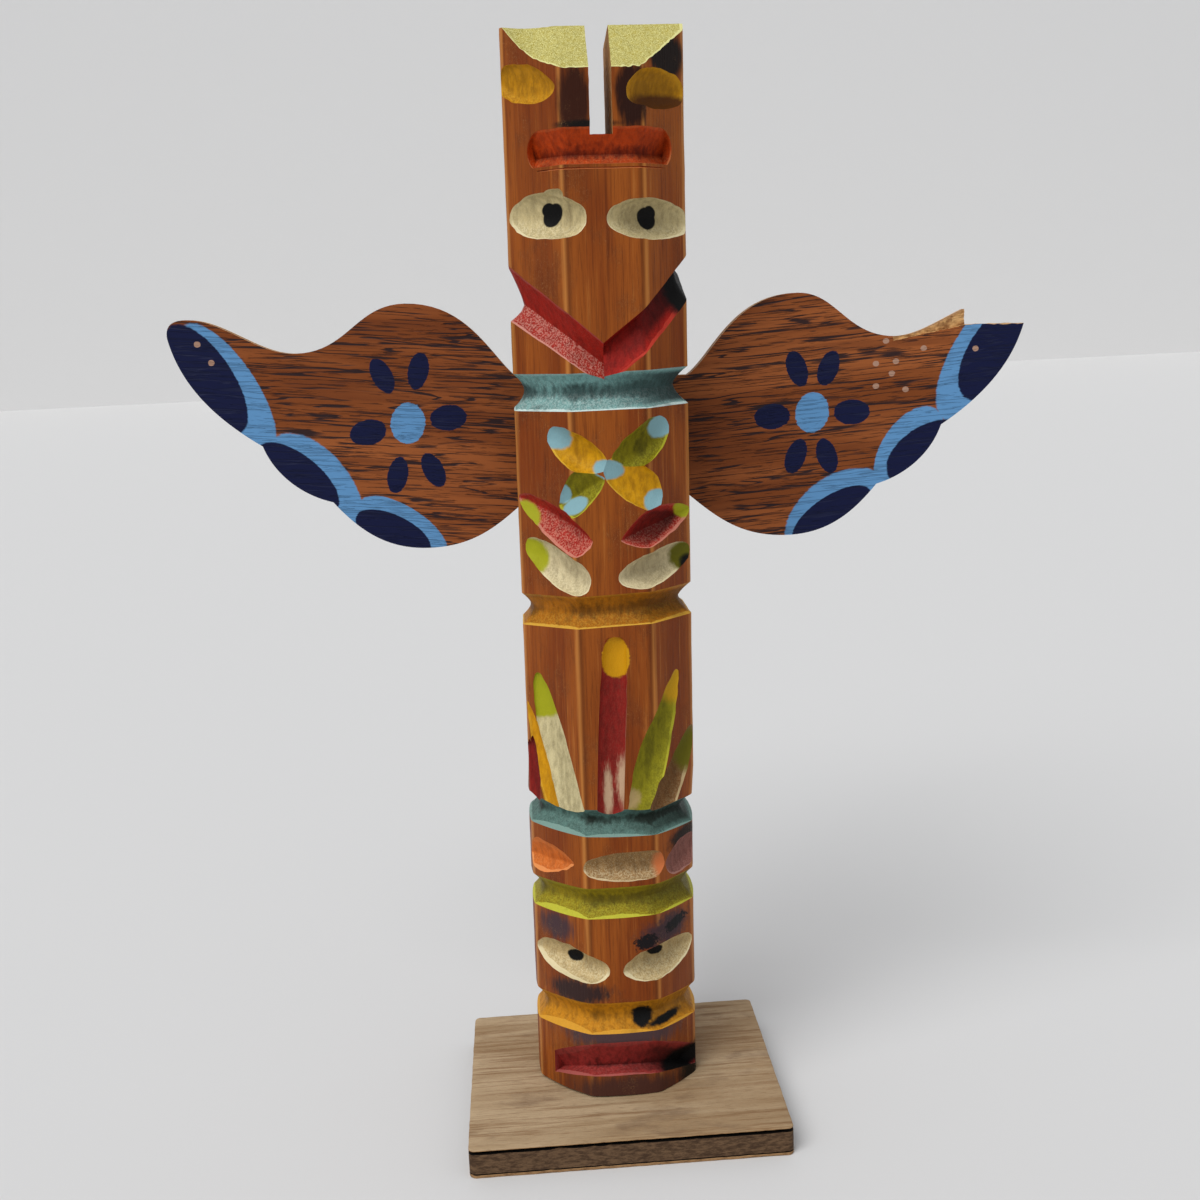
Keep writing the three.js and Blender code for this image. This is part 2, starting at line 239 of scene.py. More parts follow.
# %% Groove loops
GROOVE_FIELDS = "paint z up down depth slope_x slope_y open_x open_y"
Groove = namedtuple("Groove", GROOVE_FIELDS, defaults=(0, 0))
RINGS = [
    Groove("ring_sky", 170.4, 4.2, 4.2, 2.9, 0.019, 0.012),
    Groove("ring_ochre", 120.5, 3.8, 3.7, 2.5, 0.042, -0.02),
    Groove("ring_teal", 70.0, 3.1, 3.6, 2.8, -0.022, 0.01),
    Groove("ring_lime", 50.0, 3.8, 3.9, 2.5, 0.018, -0.004),
    Groove("ring_amber", 20.5, 4.0, 4.0, 2.3, 0.010, -0.045),
]
WALL_STEPS = 5  # loops on each wall of a groove
HOLLOW = 1.35  # above 1 the walls are hollowed and the bottom is round
RING_HOLLOW = 1.6


def groove_heights(groove, past, hollow):
    """Pairs of height and depth across the groove, from its lower lip to its upper one."""
    pairs = []
    for i in range(-WALL_STEPS, WALL_STEPS + 1):
        t = i / WALL_STEPS * past
        reach = groove.up if t > 0 else groove.down
        pairs.append((groove.z + t * reach, groove.depth * (1 - abs(t) ** hollow)))
    return pairs


def add_loops(piece, heights):
    """Cuts the piece into levels at those heights."""
    for z in heights:
        edit(piece)
        bpy.ops.mesh.select_all(action="SELECT")
        bpy.ops.mesh.bisect(plane_co=(0, 0, z), plane_no=(0, 0, 1))
        deselect()


def draw_in(piece, groove, past=1.0, proud=0.0, hollow=HOLLOW):
    """Cuts one level groove in a stick that stands proud by so much. All its loops are cut before any is
    drawn in, because a loop cut later would start from a wall that has already moved."""
    pairs = groove_heights(groove, past, hollow)
    add_loops(piece, [z for z, inset in pairs])
    for z, inset in pairs:
        pick(piece, "VERT", lambda v: abs(v.co.z - z) < 0.002)
        shrink = (half_width(z) - inset) / (half_width(z) + proud)
        bpy.ops.transform.resize(value=(shrink, shrink, 1), center_override=(0, 0, z))
        deselect()


def tip(piece, groove, past=1.0):
    """Tips one groove by its slopes, as it was cut by eye."""
    for vertex in piece.data.vertices:
        rise = vertex.co.z - groove.z
        share = rise / (groove.up if rise > 0 else groove.down)
        if abs(share) < past + 0.01:
            lever = vertex.co.y + half_width(groove.z)
            vertex.co.z += (groove.slope_x + groove.open_x * share) * vertex.co.x
            vertex.co.z += (groove.slope_y + groove.open_y * share) * lever


give_paints(stick, "wood")
for ring in RINGS:
    draw_in(stick, ring, hollow=RING_HOLLOW)
for face in stick.data.polygons:
    for ring in RINGS:
        if ring.z - ring.down < face.center.z < ring.z + ring.up:
            face.material_index = PAINTS.index(ring.paint)
print(len(RINGS), "rings cut,", len(stick.data.polygons), "faces")

# %% [markdown]
# ## Rubbed round
# Low down, where the stick was held, the arrises are rubbed almost away, and a knife turned round the
# stick leaves the bottom of a groove rounder than its lips. So the points of each level move part of
# the way towards a circle: the deeper in a groove and the nearer the foot, the further.

# %% Round the levels
RUB_BELOW = 78.0  # the rubbed stretch ends here
RUB_SHARE = 0.4
GROOVE_SHARE = 0.5


def rub(z):
    """How round the outside is at that height, from 0 to 1."""
    return RUB_SHARE * min(1, max(0, (RUB_BELOW - z) / 6))


def groove_share(z):
    """How round the groove is at that height."""
    for ring in RINGS:
        t = (z - ring.z) / (ring.up if z > ring.z else ring.down)
        if abs(t) < 1:
            return GROOVE_SHARE * (1 - abs(t))
    return 0


def round_levels(piece, share_at):
    levels = {}
    for vertex in piece.data.vertices:
        levels.setdefault(round(vertex.co.z, 2), []).append(vertex)
    for z, ring in levels.items():
        radius = sum(math.hypot(v.co.x, v.co.y) for v in ring) / len(ring)
        for vertex in ring:
            scale = 1 + share_at(z) * (radius / max(math.hypot(vertex.co.x, vertex.co.y), 1) - 1)
            vertex.co.x *= scale
            vertex.co.y *= scale


ROW = 5.0  # spacing of the loops between the grooves


def near_groove(z):
    return any(abs(z - ring.z) < 5.5 for ring in RINGS)


add_loops(stick, [ROW * i for i in range(1, int(HEIGHT / ROW)) if not near_groove(ROW * i)])
round_levels(stick, lambda z: max(rub(z), groove_share(z)))
for ring in RINGS:
    tip(stick, ring)

# %% [markdown]
# ## Planed faces that aren't quite flat
# A hand plane leaves long shallow waves, and lips of soft wood crumble a little. The surface is
# displaced by about a tenth of a millimetre.

# %% Roughen the stick
roughen(stick, 7.0, 0.24)
pick(stick, "VERT", lambda v: v.co.z > HEIGHT - 1)
bpy.ops.transform.translate(value=(0, 0, -0.2))
deselect()
print("stick has", len(stick.data.polygons), "faces after dividing")

# %% [markdown]
# ## Strokes of the gouge and the knife
# Ears, eyes, petals, leaves and the long fan are single strokes: spindle-shaped hollows, set slantwise
# on a face. Each is a sphere stretched to the stroke's length, width and depth and subtracted. A
# superellipse formula shapes each corner of its outline: 2 is round, more is square, less is pointed.
# The same formula across the stroke gives a knife's two flat walls, and a noise makes the lips waver.

# %% The strokes
STROKE_FIELDS = "paint tool bearing reach across z slant length width depth corners taper lean"
Stroke = namedtuple("Stroke", STROKE_FIELDS, defaults=(0, 0))
KNIFE = 1.25  # roundness of the cut's section: two nearly flat walls
GOUGE = 2.0  # a round hollow
FAN_FOOT = 71.4  # the long cuts of the fan run out into the third ring
SPINDLE = (1.8, 1.8, 1.8, 1.8)  # corners: upper left, upper right, lower left, lower right
STROKES = [
    Stroke("ear_ochre", GOUGE, -45, 19.2, -1.3, 236.9, -9, 17.4, 8.2, 1.7, (3.5, 1.5, 2.2, 2.2), 0.08,
           -0.3),
    Stroke("ear_ochre", GOUGE, 36, 21.9, 1.8, 235.2, 3, 21, 8.7, 3.1, (1.7, 2.2, 1.8, 2.2), 0, -0.4),
    Stroke("eye_cream", GOUGE, -34, 20.4, -0.6, 208.9, -2, 28.5, 10.4, 4.0, (2.1, 1.2, 2.8, 2.2)),
    Stroke("eye_cream", GOUGE, -34, 20.4, 1.5, 211.9, -4, 6.5, 5.2, 2.2, (3, 3, 2, 2)),
    Stroke("eye_cream", GOUGE, 27.5, 22.2, 2.3, 207.6, -1, 32.5, 9.0, 5.0, (1.7, 2.0, 1.9, 4.5)),
    Stroke("petal_yellow", GOUGE, -21.3, 20.95, 1.0, 157.0, -25, 24, 8.0, 3.4, (3, 2, 2.2, 2)),
    Stroke("petal_green", GOUGE, 18, 21.8, 1.9, 158.2, 32, 24.5, 8.2, 3.6, (2, 2.4, 2, 2.6), 0, -0.3),
    Stroke("petal_yellow", GOUGE, 11.5, 21.2, 2.9, 149.5, -31, 20, 8.8, 3.0, (2.4, 2.4, 2, 2.4)),
    Stroke("petal_green", KNIFE, -16.7, 20.9, 0.1, 148.0, 30, 15.5, 9.0, 2.9, (2, 2.2, 3, 2.4)),
    Stroke("leaf_red", KNIFE, -37, 20.0, -0.6, 140.4, -24, 26, 9.2, 3.6, (4, 1.5, 2.6, 3), 0, 0.35),
    Stroke("leaf_red", KNIFE, 28.8, 22.1, 2.2, 140.1, 16.5, 28, 9.0, 4.8, (1.6, 2.2, 2, 3), 0, -0.2),
    Stroke("leaf_cream", GOUGE, -39, 19.8, 0.6, 130.6, -27, 23.5, 8.8, 3.0, (2.4, 2.8, 2.2, 1.7), -0.1),
    Stroke("leaf_cream", GOUGE, 28.5, 22.1, 2.3, 130.3, 15, 29, 8.0, 4.8, (2, 2.2, 2, 2.6)),
    Stroke("stroke_crimson", KNIFE, -63, 19.9, -2.2, 75, 90, 28, 7.0, 1.7, SPINDLE),
    Stroke("stroke_yellow", KNIFE, -45, 18.9, -2.6, 77, -74, 42, 4.8, 1.4, SPINDLE),
    Stroke("stroke_cream", GOUGE, -45, 18.9, 2.2, 79, -75, 53, 9.6, 1.8, (2.2, 2, 2.4, 2), -0.15),
    Stroke("stroke_red", GOUGE, 0, 19.65, -0.3, 84, 87, 61, 6.3, 1.7, (5, 5, 5, 5)),
    Stroke("stroke_bare", GOUGE, 40, 21.4, 1.0, 77.5, 58, 34, 8.0, 2.6, (2, 1.6, 2, 1.8), 0.1),
    Stroke("stroke_green", GOUGE, 29.5, 22.0, -0.6, 85.8, 67.5, 56, 9.0, 3.4, (3, 1.5, 2, 1.8), 0.2),
    Stroke("gouge_orange", KNIFE, -45, 19.2, -3.5, 59.2, 0, 18, 8.4, 1.9, (2.4, 1.5, 2.2, 1.7), 0.1, -0.5),
    Stroke("gouge_cream", GOUGE, 2.4, 19.9, 1.8, 58.8, 0, 25, 7.3, 2.3, (1.7, 4, 1.9, 2.2)),
    Stroke("gouge_mauve", GOUGE, 45, 21.1, 3.6, 59.0, 10, 15, 8.4, 1.9, (1.7, 4, 2.4, 2)),
    Stroke("stern_eye", GOUGE, -34.2, 20.4, -0.9, 34.1, -6, 32.5, 8.6, 4.2, (2.4, 1.2, 2.2, 2)),
    Stroke("stern_eye", GOUGE, 26.8, 22.0, 1.9, 34.2, 8, 33.5, 8.8, 5.0, (1.5, 3.5, 2, 1.8)),
]
IN_FAN = "stroke_"  # the fan's strokes all stop at its foot


def rounded(value, power):
    """Keeps the sign and raises the size to a power."""
    return math.copysign(abs(value) ** power, value)


def shape_cutter(cutter, stroke):
    """Turns a sphere of radius 1 into the stroke, lying along X, with Y over it and Z out of the wood."""
    upper_left, upper_right, lower_left, lower_right = stroke.corners
    for vertex in cutter.data.vertices:
        girth = math.hypot(vertex.co.x, vertex.co.y)
        turn = math.atan2(vertex.co.x, vertex.co.y)
        above = 0.5 + 0.5 * math.sin(turn)
        high, low = (upper_left, lower_left) if vertex.co.z < 0 else (upper_right, lower_right)
        full = low + (high - low) * above
        along = rounded(vertex.co.z, 2 / full)
        size = girth ** (2 / full)
        out = rounded(math.cos(turn), 2 / stroke.tool) * size * stroke.depth
        wide = rounded(math.sin(turn), 2 / stroke.tool) * size * stroke.width / 2
        wide = wide * (1 - stroke.taper * along) - stroke.lean * out
        vertex.co = (along * stroke.length / 2, wide, out)


def place_cutter(cutter, stroke):
    facing = math.radians(stroke.bearing)
    outward = Vector((math.sin(facing), -math.cos(facing), 0))
    level = Vector((math.cos(facing), math.sin(facing), 0))
    up = Vector((0, 0, 1))
    slant = math.radians(stroke.slant)
    along = level * math.cos(slant) + up * math.sin(slant)
    over = up * math.cos(slant) - level * math.sin(slant)
    place = Matrix((along, over, outward)).transposed().to_4x4()
    place.translation = outward * stroke.reach + level * stroke.across + up * stroke.z
    cutter.data.transform(place)


def add_cutter(stroke, index):
    deselect()
    bpy.ops.mesh.primitive_uv_sphere_add(segments=40, ring_count=36, radius=1)
    cutter = name_new("stroke_%02d" % index)
    shape_cutter(cutter, stroke)
    place_cutter(cutter, stroke)
    edit(cutter)
    bpy.ops.mesh.select_all(action="SELECT")
    bpy.ops.mesh.normals_make_consistent(inside=False)
    deselect()
    roughen(cutter, 2.8, 0.6)
    if stroke.paint.startswith(IN_FAN):
        edit(cutter)
        bpy.ops.mesh.select_all(action="SELECT")
        bpy.ops.mesh.bisect(plane_co=(0, 0, FAN_FOOT), plane_no=(0, 0, -1), clear_outer=True, use_fill=True)
        deselect()
    give_paints(cutter, stroke.paint)
    return cutter


# %% [markdown]
# ## Grooves that only cross the front
# The bar, the two arms of the beak and the mouth are grooves too, but each stops part of the way
# round. So a second, slightly stouter stick is waisted by the groove and taken out of a block that
# covers only the groove's reach. What is left of the block is the wood that the carver removed. The
# block's ends lean outwards and their edges are bevelled, because a gouge comes up out of the wood.

# %% Bar, beak and mouth
PROUD = 2.2  # how much stouter the helper stick is
PAST = 1.5  # its walls run on this far past the lips
SPARE = 30.0  # extra length at both its ends
HINGE = -12.0  # the ends of a block lean about this depth


def add_block(name, low, high):
    deselect()
    low = Vector(low)
    high = Vector(high)
    bpy.ops.mesh.primitive_cube_add(size=1, location=(low + high) / 2, scale=high - low)
    return name_new(name)


def lean_end(block, side, rate):
    """Leans one end wall of a block outwards towards the front. The side is -1 or 1."""
    for vertex in block.data.vertices:
        if vertex.co.x * side > 0:
            vertex.co.x += side * rate * (HINGE - vertex.co.y)


def round_end(block, radius, test):
    """Rounds the edges of a block that run from front to back."""
    pick(block, "EDGE", lambda e: abs(ends(block, e)[0].y - ends(block, e)[1].y) > 1 and test(ends(block,
                                                                                                   e)[0]))
    bpy.ops.mesh.bevel(offset=radius, segments=8, affect="EDGES")
    deselect()


def groove_cutter(groove, block):
    """What a groove removes inside the block. The groove's walls carry its paint."""
    waisted = add_stick("waisted")
    for end, shift in ((HEIGHT, SPARE), (GAP, -SPARE)):
        pick(waisted, "VERT", lambda v: abs(v.co.z - end) < 1)
        bpy.ops.transform.translate(value=(0, 0, shift))
        deselect()
    edit(waisted)
    bpy.ops.mesh.select_all(action="SELECT")
    stouter = 1 + PROUD / HALF_TOP
    bpy.ops.transform.resize(value=(stouter, stouter, 1), center_override=(0, 0, 0))
    deselect()
    draw_in(waisted, groove, PAST, PROUD)
    round_levels(waisted, rub)
    tip(waisted, groove, PAST)
    roughen(waisted, 4.0, 0.3)
    give_paints(waisted, groove.paint)
    give_paints(block, groove.paint)
    cut(block, waisted)
    return block


BAR = Groove("bar_orange", 221.4, 5.6, 3.2, 2.8, 0, 0)
BAR_LEFT = -14.4
BAR_RIGHT = 15.9
BAR_ROUND = 4.2
bar_block = add_block("bar", (BAR_LEFT, -FAR, BAR.z - BAR.down), (BAR_RIGHT, 0, BAR.z + BAR.up))
lean_end(bar_block, -1, 0.9)
lean_end(bar_block, 1, 0.9)
round_end(bar_block, BAR_ROUND, lambda corner: True)

BEAK_MEETS = 0.5  # the arms meet just right of the middle
BEAK_BACK = 12.0  # they run round the sides to here
LEFT_ARM = Groove("beak_rosy", 176.8, 4.6, 5.1, 3.3, -0.80, 0, -0.06)
RIGHT_ARM = Groove("beak_red", 178.8, 1.8, 8.0, 2.7, 0.78, 0.34)
left_block = add_block("left_arm", (-FAR, -FAR, 150), (BEAK_MEETS + 0.02, BEAK_BACK, 215))
right_block = add_block("right_arm", (BEAK_MEETS - 0.02, -FAR, 150), (FAR, BEAK_BACK, 215))

MOUTH = Groove("mouth_red", 8.2, 5.8, 2.7, 3.0, 0, -0.47, 0, -0.17)
MOUTH_LEFT = -16.6
mouth_block = add_block("mouth", (MOUTH_LEFT, -FAR, -20), (FAR, -9.4, 18))
lean_end(mouth_block, -1, 1.1)

CROSSINGS = [(BAR, bar_block), (LEFT_ARM, left_block), (RIGHT_ARM, right_block), (MOUTH, mouth_block)]
for groove, block in CROSSINGS:
    cut(stick, groove_cutter(groove, block))
print("bar, beak and mouth cut,", len(stick.data.polygons), "faces")

# %% [markdown]
# ## Taking the strokes out
# The strokes come after the grooves, in the order of the list, since some run across one another.

# %% Cut the strokes
for index, stroke in enumerate(STROKES):
    cut(stick, add_cutter(stroke, index))
print(len(STROKES), "strokes cut,", len(stick.data.polygons), "faces")

# %% [markdown]
# ## Saw cuts
# The forehead is one slanting saw cut, painted lime, which dips on the left where the saw wandered.
# The slot behind it runs from front to back and is raw inside. A notch across the back takes the wing
# board. Each is a block, turned or widened to suit where needed; the forehead and the slot have their
# big faces divided and roughened as a coarse saw leaves them.

# %% Forehead, slot and notch
BROW_FRONT = 239.2  # height at which the cut meets the front flat
BROW_SLOPE = 0.92
BROW_DIP = 2.3
DIP_FROM = -8.0  # the dip starts here and ends at the left side
SLOT_LEFT = -1.2
SLOT_RIGHT_FRONT = 3.7
SLOT_RIGHT_BACK = 4.6
SLOT_BOTTOM = 225.5
NOTCH_LOW = 142.1
NOTCH_HIGH = 172.5


def sawn(block, paint, steps, strength, grain=1.6):
    edit(block)
    bpy.ops.mesh.select_all(action="SELECT")
    bpy.ops.mesh.subdivide(number_cuts=steps)
    deselect()
    roughen(block, grain, strength)
    give_paints(block, paint)
    return block


slot = add_block("slot", (SLOT_LEFT, -30, SLOT_BOTTOM), (SLOT_RIGHT_FRONT, 30, HEIGHT + 10))
widening = (SLOT_RIGHT_BACK - SLOT_RIGHT_FRONT) / (2 * HALF_TOP) * 30
middle = (SLOT_RIGHT_BACK - SLOT_RIGHT_FRONT) / 2
for end in (-1, 1):
    pick(slot, "VERT", lambda v: v.co.x > 0 and v.co.y * end > 0)
    bpy.ops.transform.translate(value=(middle + end * widening, 0, 0))
    deselect()
cut(stick, sawn(slot, "raw_saw", 24, 0.22))

brow = sawn(add_block("brow", (-30, -30, 0), (30, 30, 24)), "brow_lime", 60, 0.7, 0.9)
brow_place = Matrix.Rotation(math.atan(BROW_SLOPE), 4, "X")
brow_place.translation = (0, -HALF_TOP, BROW_FRONT)
brow.data.transform(brow_place)
for vertex in brow.data.vertices:
    share = (DIP_FROM - vertex.co.x) / (DIP_FROM + HALF_TOP)
    if 0 < share < 1:
        vertex.co.z -= BROW_DIP * math.sin(share * math.pi)
cut(stick, brow)

notch = add_block("notch", (-FAR, WING_FRONT - GAP, NOTCH_LOW), (FAR, FAR, NOTCH_HIGH))
give_paints(notch, "wood")
cut(stick, notch)
print("saw cuts done,", len(stick.data.polygons), "faces")

# %% [markdown]
# ## The leaning place
# The stick leans a little to the right. Its own measure stays straight in the materials, which undo
# the lean, so a grain line runs along the stick and not along the world.

# %% Stand the stick on the board
def stand(piece):
    """Turns a piece made in upright millimetres into its place in the object, in metres."""
    place = Matrix.Translation(FOOT * MM) @ Matrix.Rotation(LEAN, 4, "Y") @ Matrix.Scale(MM, 4)
    piece.data.transform(place)
    piece.data.update()


def finish_piece(piece, node, angle=32):
    deselect()
    piece.select_set(True)
    bpy.context.view_layer.objects.active = piece
    bpy.ops.object.shade_smooth_by_angle(angle=math.radians(angle))
    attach(piece, "root")
    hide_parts(node)
    deselect()
    size = [round(v * 1000, 1) for v in piece.dimensions]
    print(piece.name, "measures", size, "mm with", len(piece.data.polygons), "faces")


stand(stick)
finish_piece(stick, "pole")

# %% [markdown]
# ## The wing board
# A fretsaw cut the wings out of thin plywood along smooth curves. A Bezier curve is the natural tool:
# one half is drawn step by step outward from the middle, and mirrored. It is turned to a mesh, filled
# and extruded to the board's thickness. The right tip is then broken off along the grain.

# %% Wing outline
WAIST_HALF = 20.6
WAIST_LOW = 142.4
WAIST_HIGH = 172.2
WING_STEPS = [  # each curve's two handles and its end, outward along the top and back underneath
    ((27, 176.5), (32, 191.3), (48, 191.3)),
    ((58, 191.3), (60, 180.1), (73, 180.1)),
    ((82, 180.1), (90, 188.8), (100.5, 188.8)),
    ((103, 188.8), (105.6, 188.2), (105.2, 184.5)),
    ((103, 174), (96, 165.5), (84.2, 158)),
    ((82, 151.5), (76, 145.8), (67.9, 143.7)),
    ((61.5, 136), (55, 131.5), (45, 131.5)),
    ((34, 131.5), (28, 136), (WAIST_HALF, WAIST_LOW)),
]
LEFT_DIP = 2.0
WING_DIP_ABOVE = 176.0
WING_DIP_FROM = 55.0
WING_DIP_TO = 95.0


def wing_points():
    """Corner points of one half with the handle before and after each: (before, point, after)."""
    points = [[None, (WAIST_HALF, WAIST_HIGH), None]]
    for leaving, arriving, end in WING_STEPS:
        points[-1][2] = leaving
        points.append([arriving, end, None])
    return points


def mirrored(point):
    """A point of the left half. There the dip of the upper edge was sawn a little further out."""
    x, z = point
    outward = LEFT_DIP if z > WING_DIP_ABOVE and WING_DIP_FROM < x < WING_DIP_TO else 0
    return (-x - outward, z)


def add_wing_board():
    deselect()
    bpy.ops.curve.primitive_bezier_curve_add()
    outline = name_new("wing_board")
    half = wing_points()
    left = [[corner and mirrored(corner) for corner in reversed(corners)] for corners in reversed(half)]
    corners = half + left
    spline = outline.data.splines[0]
    spline.bezier_points.add(len(corners) - 2)
    outline.data.resolution_u = 20
    spline.use_cyclic_u = True
    for knot, (before, point, after) in zip(spline.bezier_points, corners):
        knot.handle_left_type = "FREE"
        knot.handle_right_type = "FREE"
        knot.co = (point[0], 0, point[1])
        leading = before or point
        trailing = after or point
        knot.handle_left = (leading[0], 0, leading[1])
        knot.handle_right = (trailing[0], 0, trailing[1])
    bpy.ops.object.convert(target="MESH")
    board = bpy.context.object
    edit(board)
    bpy.ops.mesh.select_all(action="SELECT")
    bpy.ops.mesh.remove_doubles(threshold=0.01)
    bpy.ops.mesh.edge_face_add()
    bpy.ops.mesh.extrude_region_move(TRANSFORM_OT_translate={"value": (0, WING_THICKNESS, 0)})
    bpy.ops.mesh.select_all(action="SELECT")
    bpy.ops.mesh.normals_make_consistent(inside=False)
    deselect()
    return board


board = add_wing_board()
print("wing board is", [round(v, 1) for v in board.dimensions], "mm")

# %% [markdown]
# ## The broken tip
# The right tip split along the grain, and the face veneer tore back further than the core. So two
# wedges come away: one through the whole board, and a shallow one from the front that bares the
# rough core. Both cutters are noisy, since splintered wood has no flat face.

# %% Break the tip
BREAK_X = 90.0
BREAK_GRAIN = 182.4  # the height at which the board split along its grain
TEAR_START = 72.0
TEAR_DROP = 3.4
VENEER = 1.1
split = add_block("split", (BREAK_X, -10, BREAK_GRAIN), (BREAK_X + FAR, 20, BREAK_GRAIN + 20))
edit(split)
bpy.ops.mesh.select_all(action="SELECT")
bpy.ops.mesh.subdivide(number_cuts=50)
deselect()
roughen(split, 1.5, 0.7)
cut(board, split)
tear_size = math.hypot(BREAK_X - TEAR_START, TEAR_DROP)
tear = add_block("tear", (0, -10, 0), (tear_size + 1, VENEER, 14))
edit(tear)
bpy.ops.mesh.select_all(action="SELECT")
bpy.ops.mesh.subdivide(number_cuts=40)
deselect()
roughen(tear, 0.9, 0.6)
tear_place = Matrix.Rotation(-math.atan2(TEAR_DROP, BREAK_X - TEAR_START), 4, "Y")
tear_place.translation = (TEAR_START, 0, BREAK_GRAIN - TEAR_DROP)
tear.data.transform(tear_place)
cut(board, tear)
SHY = 0.9985  # a hair narrower than the solid, because a true curve swells past its straight runs
board.data.transform(Matrix.Translation((WING_SHIFT, WING_FRONT, 0)) @ Matrix.Diagonal((SHY, 1, 1, 1)))
board.data.materials.clear()
wing_wood = bpy.data.materials.new("wing_wood")
board.data.materials.append(wing_wood)
stand(board)
finish_piece(board, "wings")

# %% [markdown]
# ## The base board
# Thin outer plies on a thick rough core, with a dark glue line between them. The board is one block
# with rounded corners, and the glue line and the open gap are drawn in, so that they read as fine gaps.

# %% Plies of the base
base_low, base_high = (Vector(corner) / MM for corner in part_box("base"))
CORNER = 1.6
EDGE_WEAR = 0.3
BASE_SHY = 0.14  # the wood's roughness stays inside the solid
GAPS = ((0.8, 1.1, 0.35), (5.9, 6.75, 1.3))  # low, high and depth of the glue line and of the open gap
STEP = 0.06  # height of the short walls at a gap's mouth


def rises(piece, edge):
    return abs(ends(piece, edge)[0].z - ends(piece, edge)[1].z) > 1


def draw_in_gap(plate, low, high, depth):
    """Draws the edge of the board in between two heights."""
    heights = (low, low + STEP, high - STEP, high)
    for z in heights:
        edit(plate)
        bpy.ops.mesh.select_all(action="SELECT")
        bpy.ops.mesh.bisect(plane_co=(0, 0, z), plane_no=(0, 0, 1))
        deselect()
    pick(plate, "VERT", lambda v: low + STEP / 2 < v.co.z < high - STEP / 2)
    shrink = (1 - depth / base_high.x, 1 - depth / base_high.y, 1)
    bpy.ops.transform.resize(value=shrink, center_override=(0, 0, 0))
    deselect()


def add_base_board():
    inset = Vector((BASE_SHY, BASE_SHY, 0))
    plate = add_block("base_board", base_low + inset, base_high - inset - Vector((0, 0, BASE_SHY / 2)))
    pick(plate, "EDGE", lambda e: rises(plate, e))
    bpy.ops.mesh.bevel(offset=CORNER, segments=5, affect="EDGES")
    deselect()
    pick(plate, "EDGE", lambda e: not rises(plate, e))
    bpy.ops.mesh.bevel(offset=EDGE_WEAR, segments=2, affect="EDGES")
    deselect()
    for low, high, depth in GAPS:
        draw_in_gap(plate, low, high, depth)
    for axis in (0, 1):
        reach = int(base_high[axis]) - 2
        normal = (1 - axis, axis, 0)
        for place in range(-reach, reach + 1, 2):
            edit(plate)
            bpy.ops.mesh.select_all(action="SELECT")
            bpy.ops.mesh.bisect(plane_co=(place * (1 - axis), place * axis, 0), plane_no=normal)
            deselect()
    flat = [v.index for v in plate.data.vertices if v.co.z < 0.01]
    roughen(plate, 1.7, 0.22)
    for index in flat:
        plate.data.vertices[index].co.z = 0
    return plate


plate = add_base_board()
base_wood = bpy.data.materials.new("base_wood")
plate.data.materials.append(base_wood)
plate.data.transform(Matrix.Scale(MM, 4))
finish_piece(plate, "base", angle=40)

# %% [markdown]
# ## Finishes
# Everything seen from here on is colour, gloss and a fine bump, all worked out by shader nodes from
# the place of each point on the piece. Wiring nodes by hand is wordy, so three small helpers make a
# node, fill or link its sockets, and hand back its output.

# %% Helpers for shader nodes
def tint(red, green, blue):
    """A colour as the eye reads it, 0 to 255, in the linear values that a shader wants."""
    linear = [(c / 255 / 12.92) if c < 11 else ((c / 255 + 0.055) / 1.055) ** 2.4 for c in (red, green,
                                                                                            blue)]
    return (*linear, 1.0)


def add_node(tree, kind, inputs=None, output=0, **settings):
    """Makes a node, fills or links its sockets, and returns one of its outputs."""
    new = tree.nodes.new("ShaderNode" + kind)
    for key, value in settings.items():
        setattr(new, key, value)
    for key, value in (inputs or {}).items():
        if isinstance(value, bpy.types.NodeSocket):
            tree.links.new(value, new.inputs[key])
        else:
            new.inputs[key].default_value = value
    return new.outputs[output]


def calc(tree, operation, a, b=0.0, clamp=False):
    return add_node(tree, "Math", {0: a, 1: b}, operation=operation, use_clamp=clamp)


def times(tree, a, b):
    return calc(tree, "MULTIPLY", a, b)


def flip(tree, value):
    """1 where the value is 0, and 0 where it is 1."""
    return calc(tree, "SUBTRACT", 1.0, value)


def scaled(tree, value, by, plus):
    return add_node(tree, "Math", {0: value, 1: by, 2: plus}, operation="MULTIPLY_ADD")


def blend_color(tree, factor, a, b, mode="MIX"):
    return add_node(tree, "Mix", {0: factor, 6: a, 7: b}, output=2, data_type="RGBA", blend_type=mode)


def ramp_up(tree, value, low, high):
    """0 below low, 1 above high, and smooth between them."""
    sockets = {"Value": value, "From Min": low, "From Max": high}
    return add_node(tree, "MapRange", sockets, interpolation_type="SMOOTHSTEP")


def stretched_noise(tree, place, scale, detail=3.0, roughness=0.55, distortion=0.0):
    """Noise with its own fineness along each axis, per millimetre."""
    vector = add_node(tree, "VectorMath", {0: place, 1: scale}, operation="MULTIPLY")
    sockets = {"Vector": vector, "Scale": 1.0, "Detail": detail, "Roughness": roughness,
               "Distortion": distortion}
    return add_node(tree, "TexNoise", sockets)


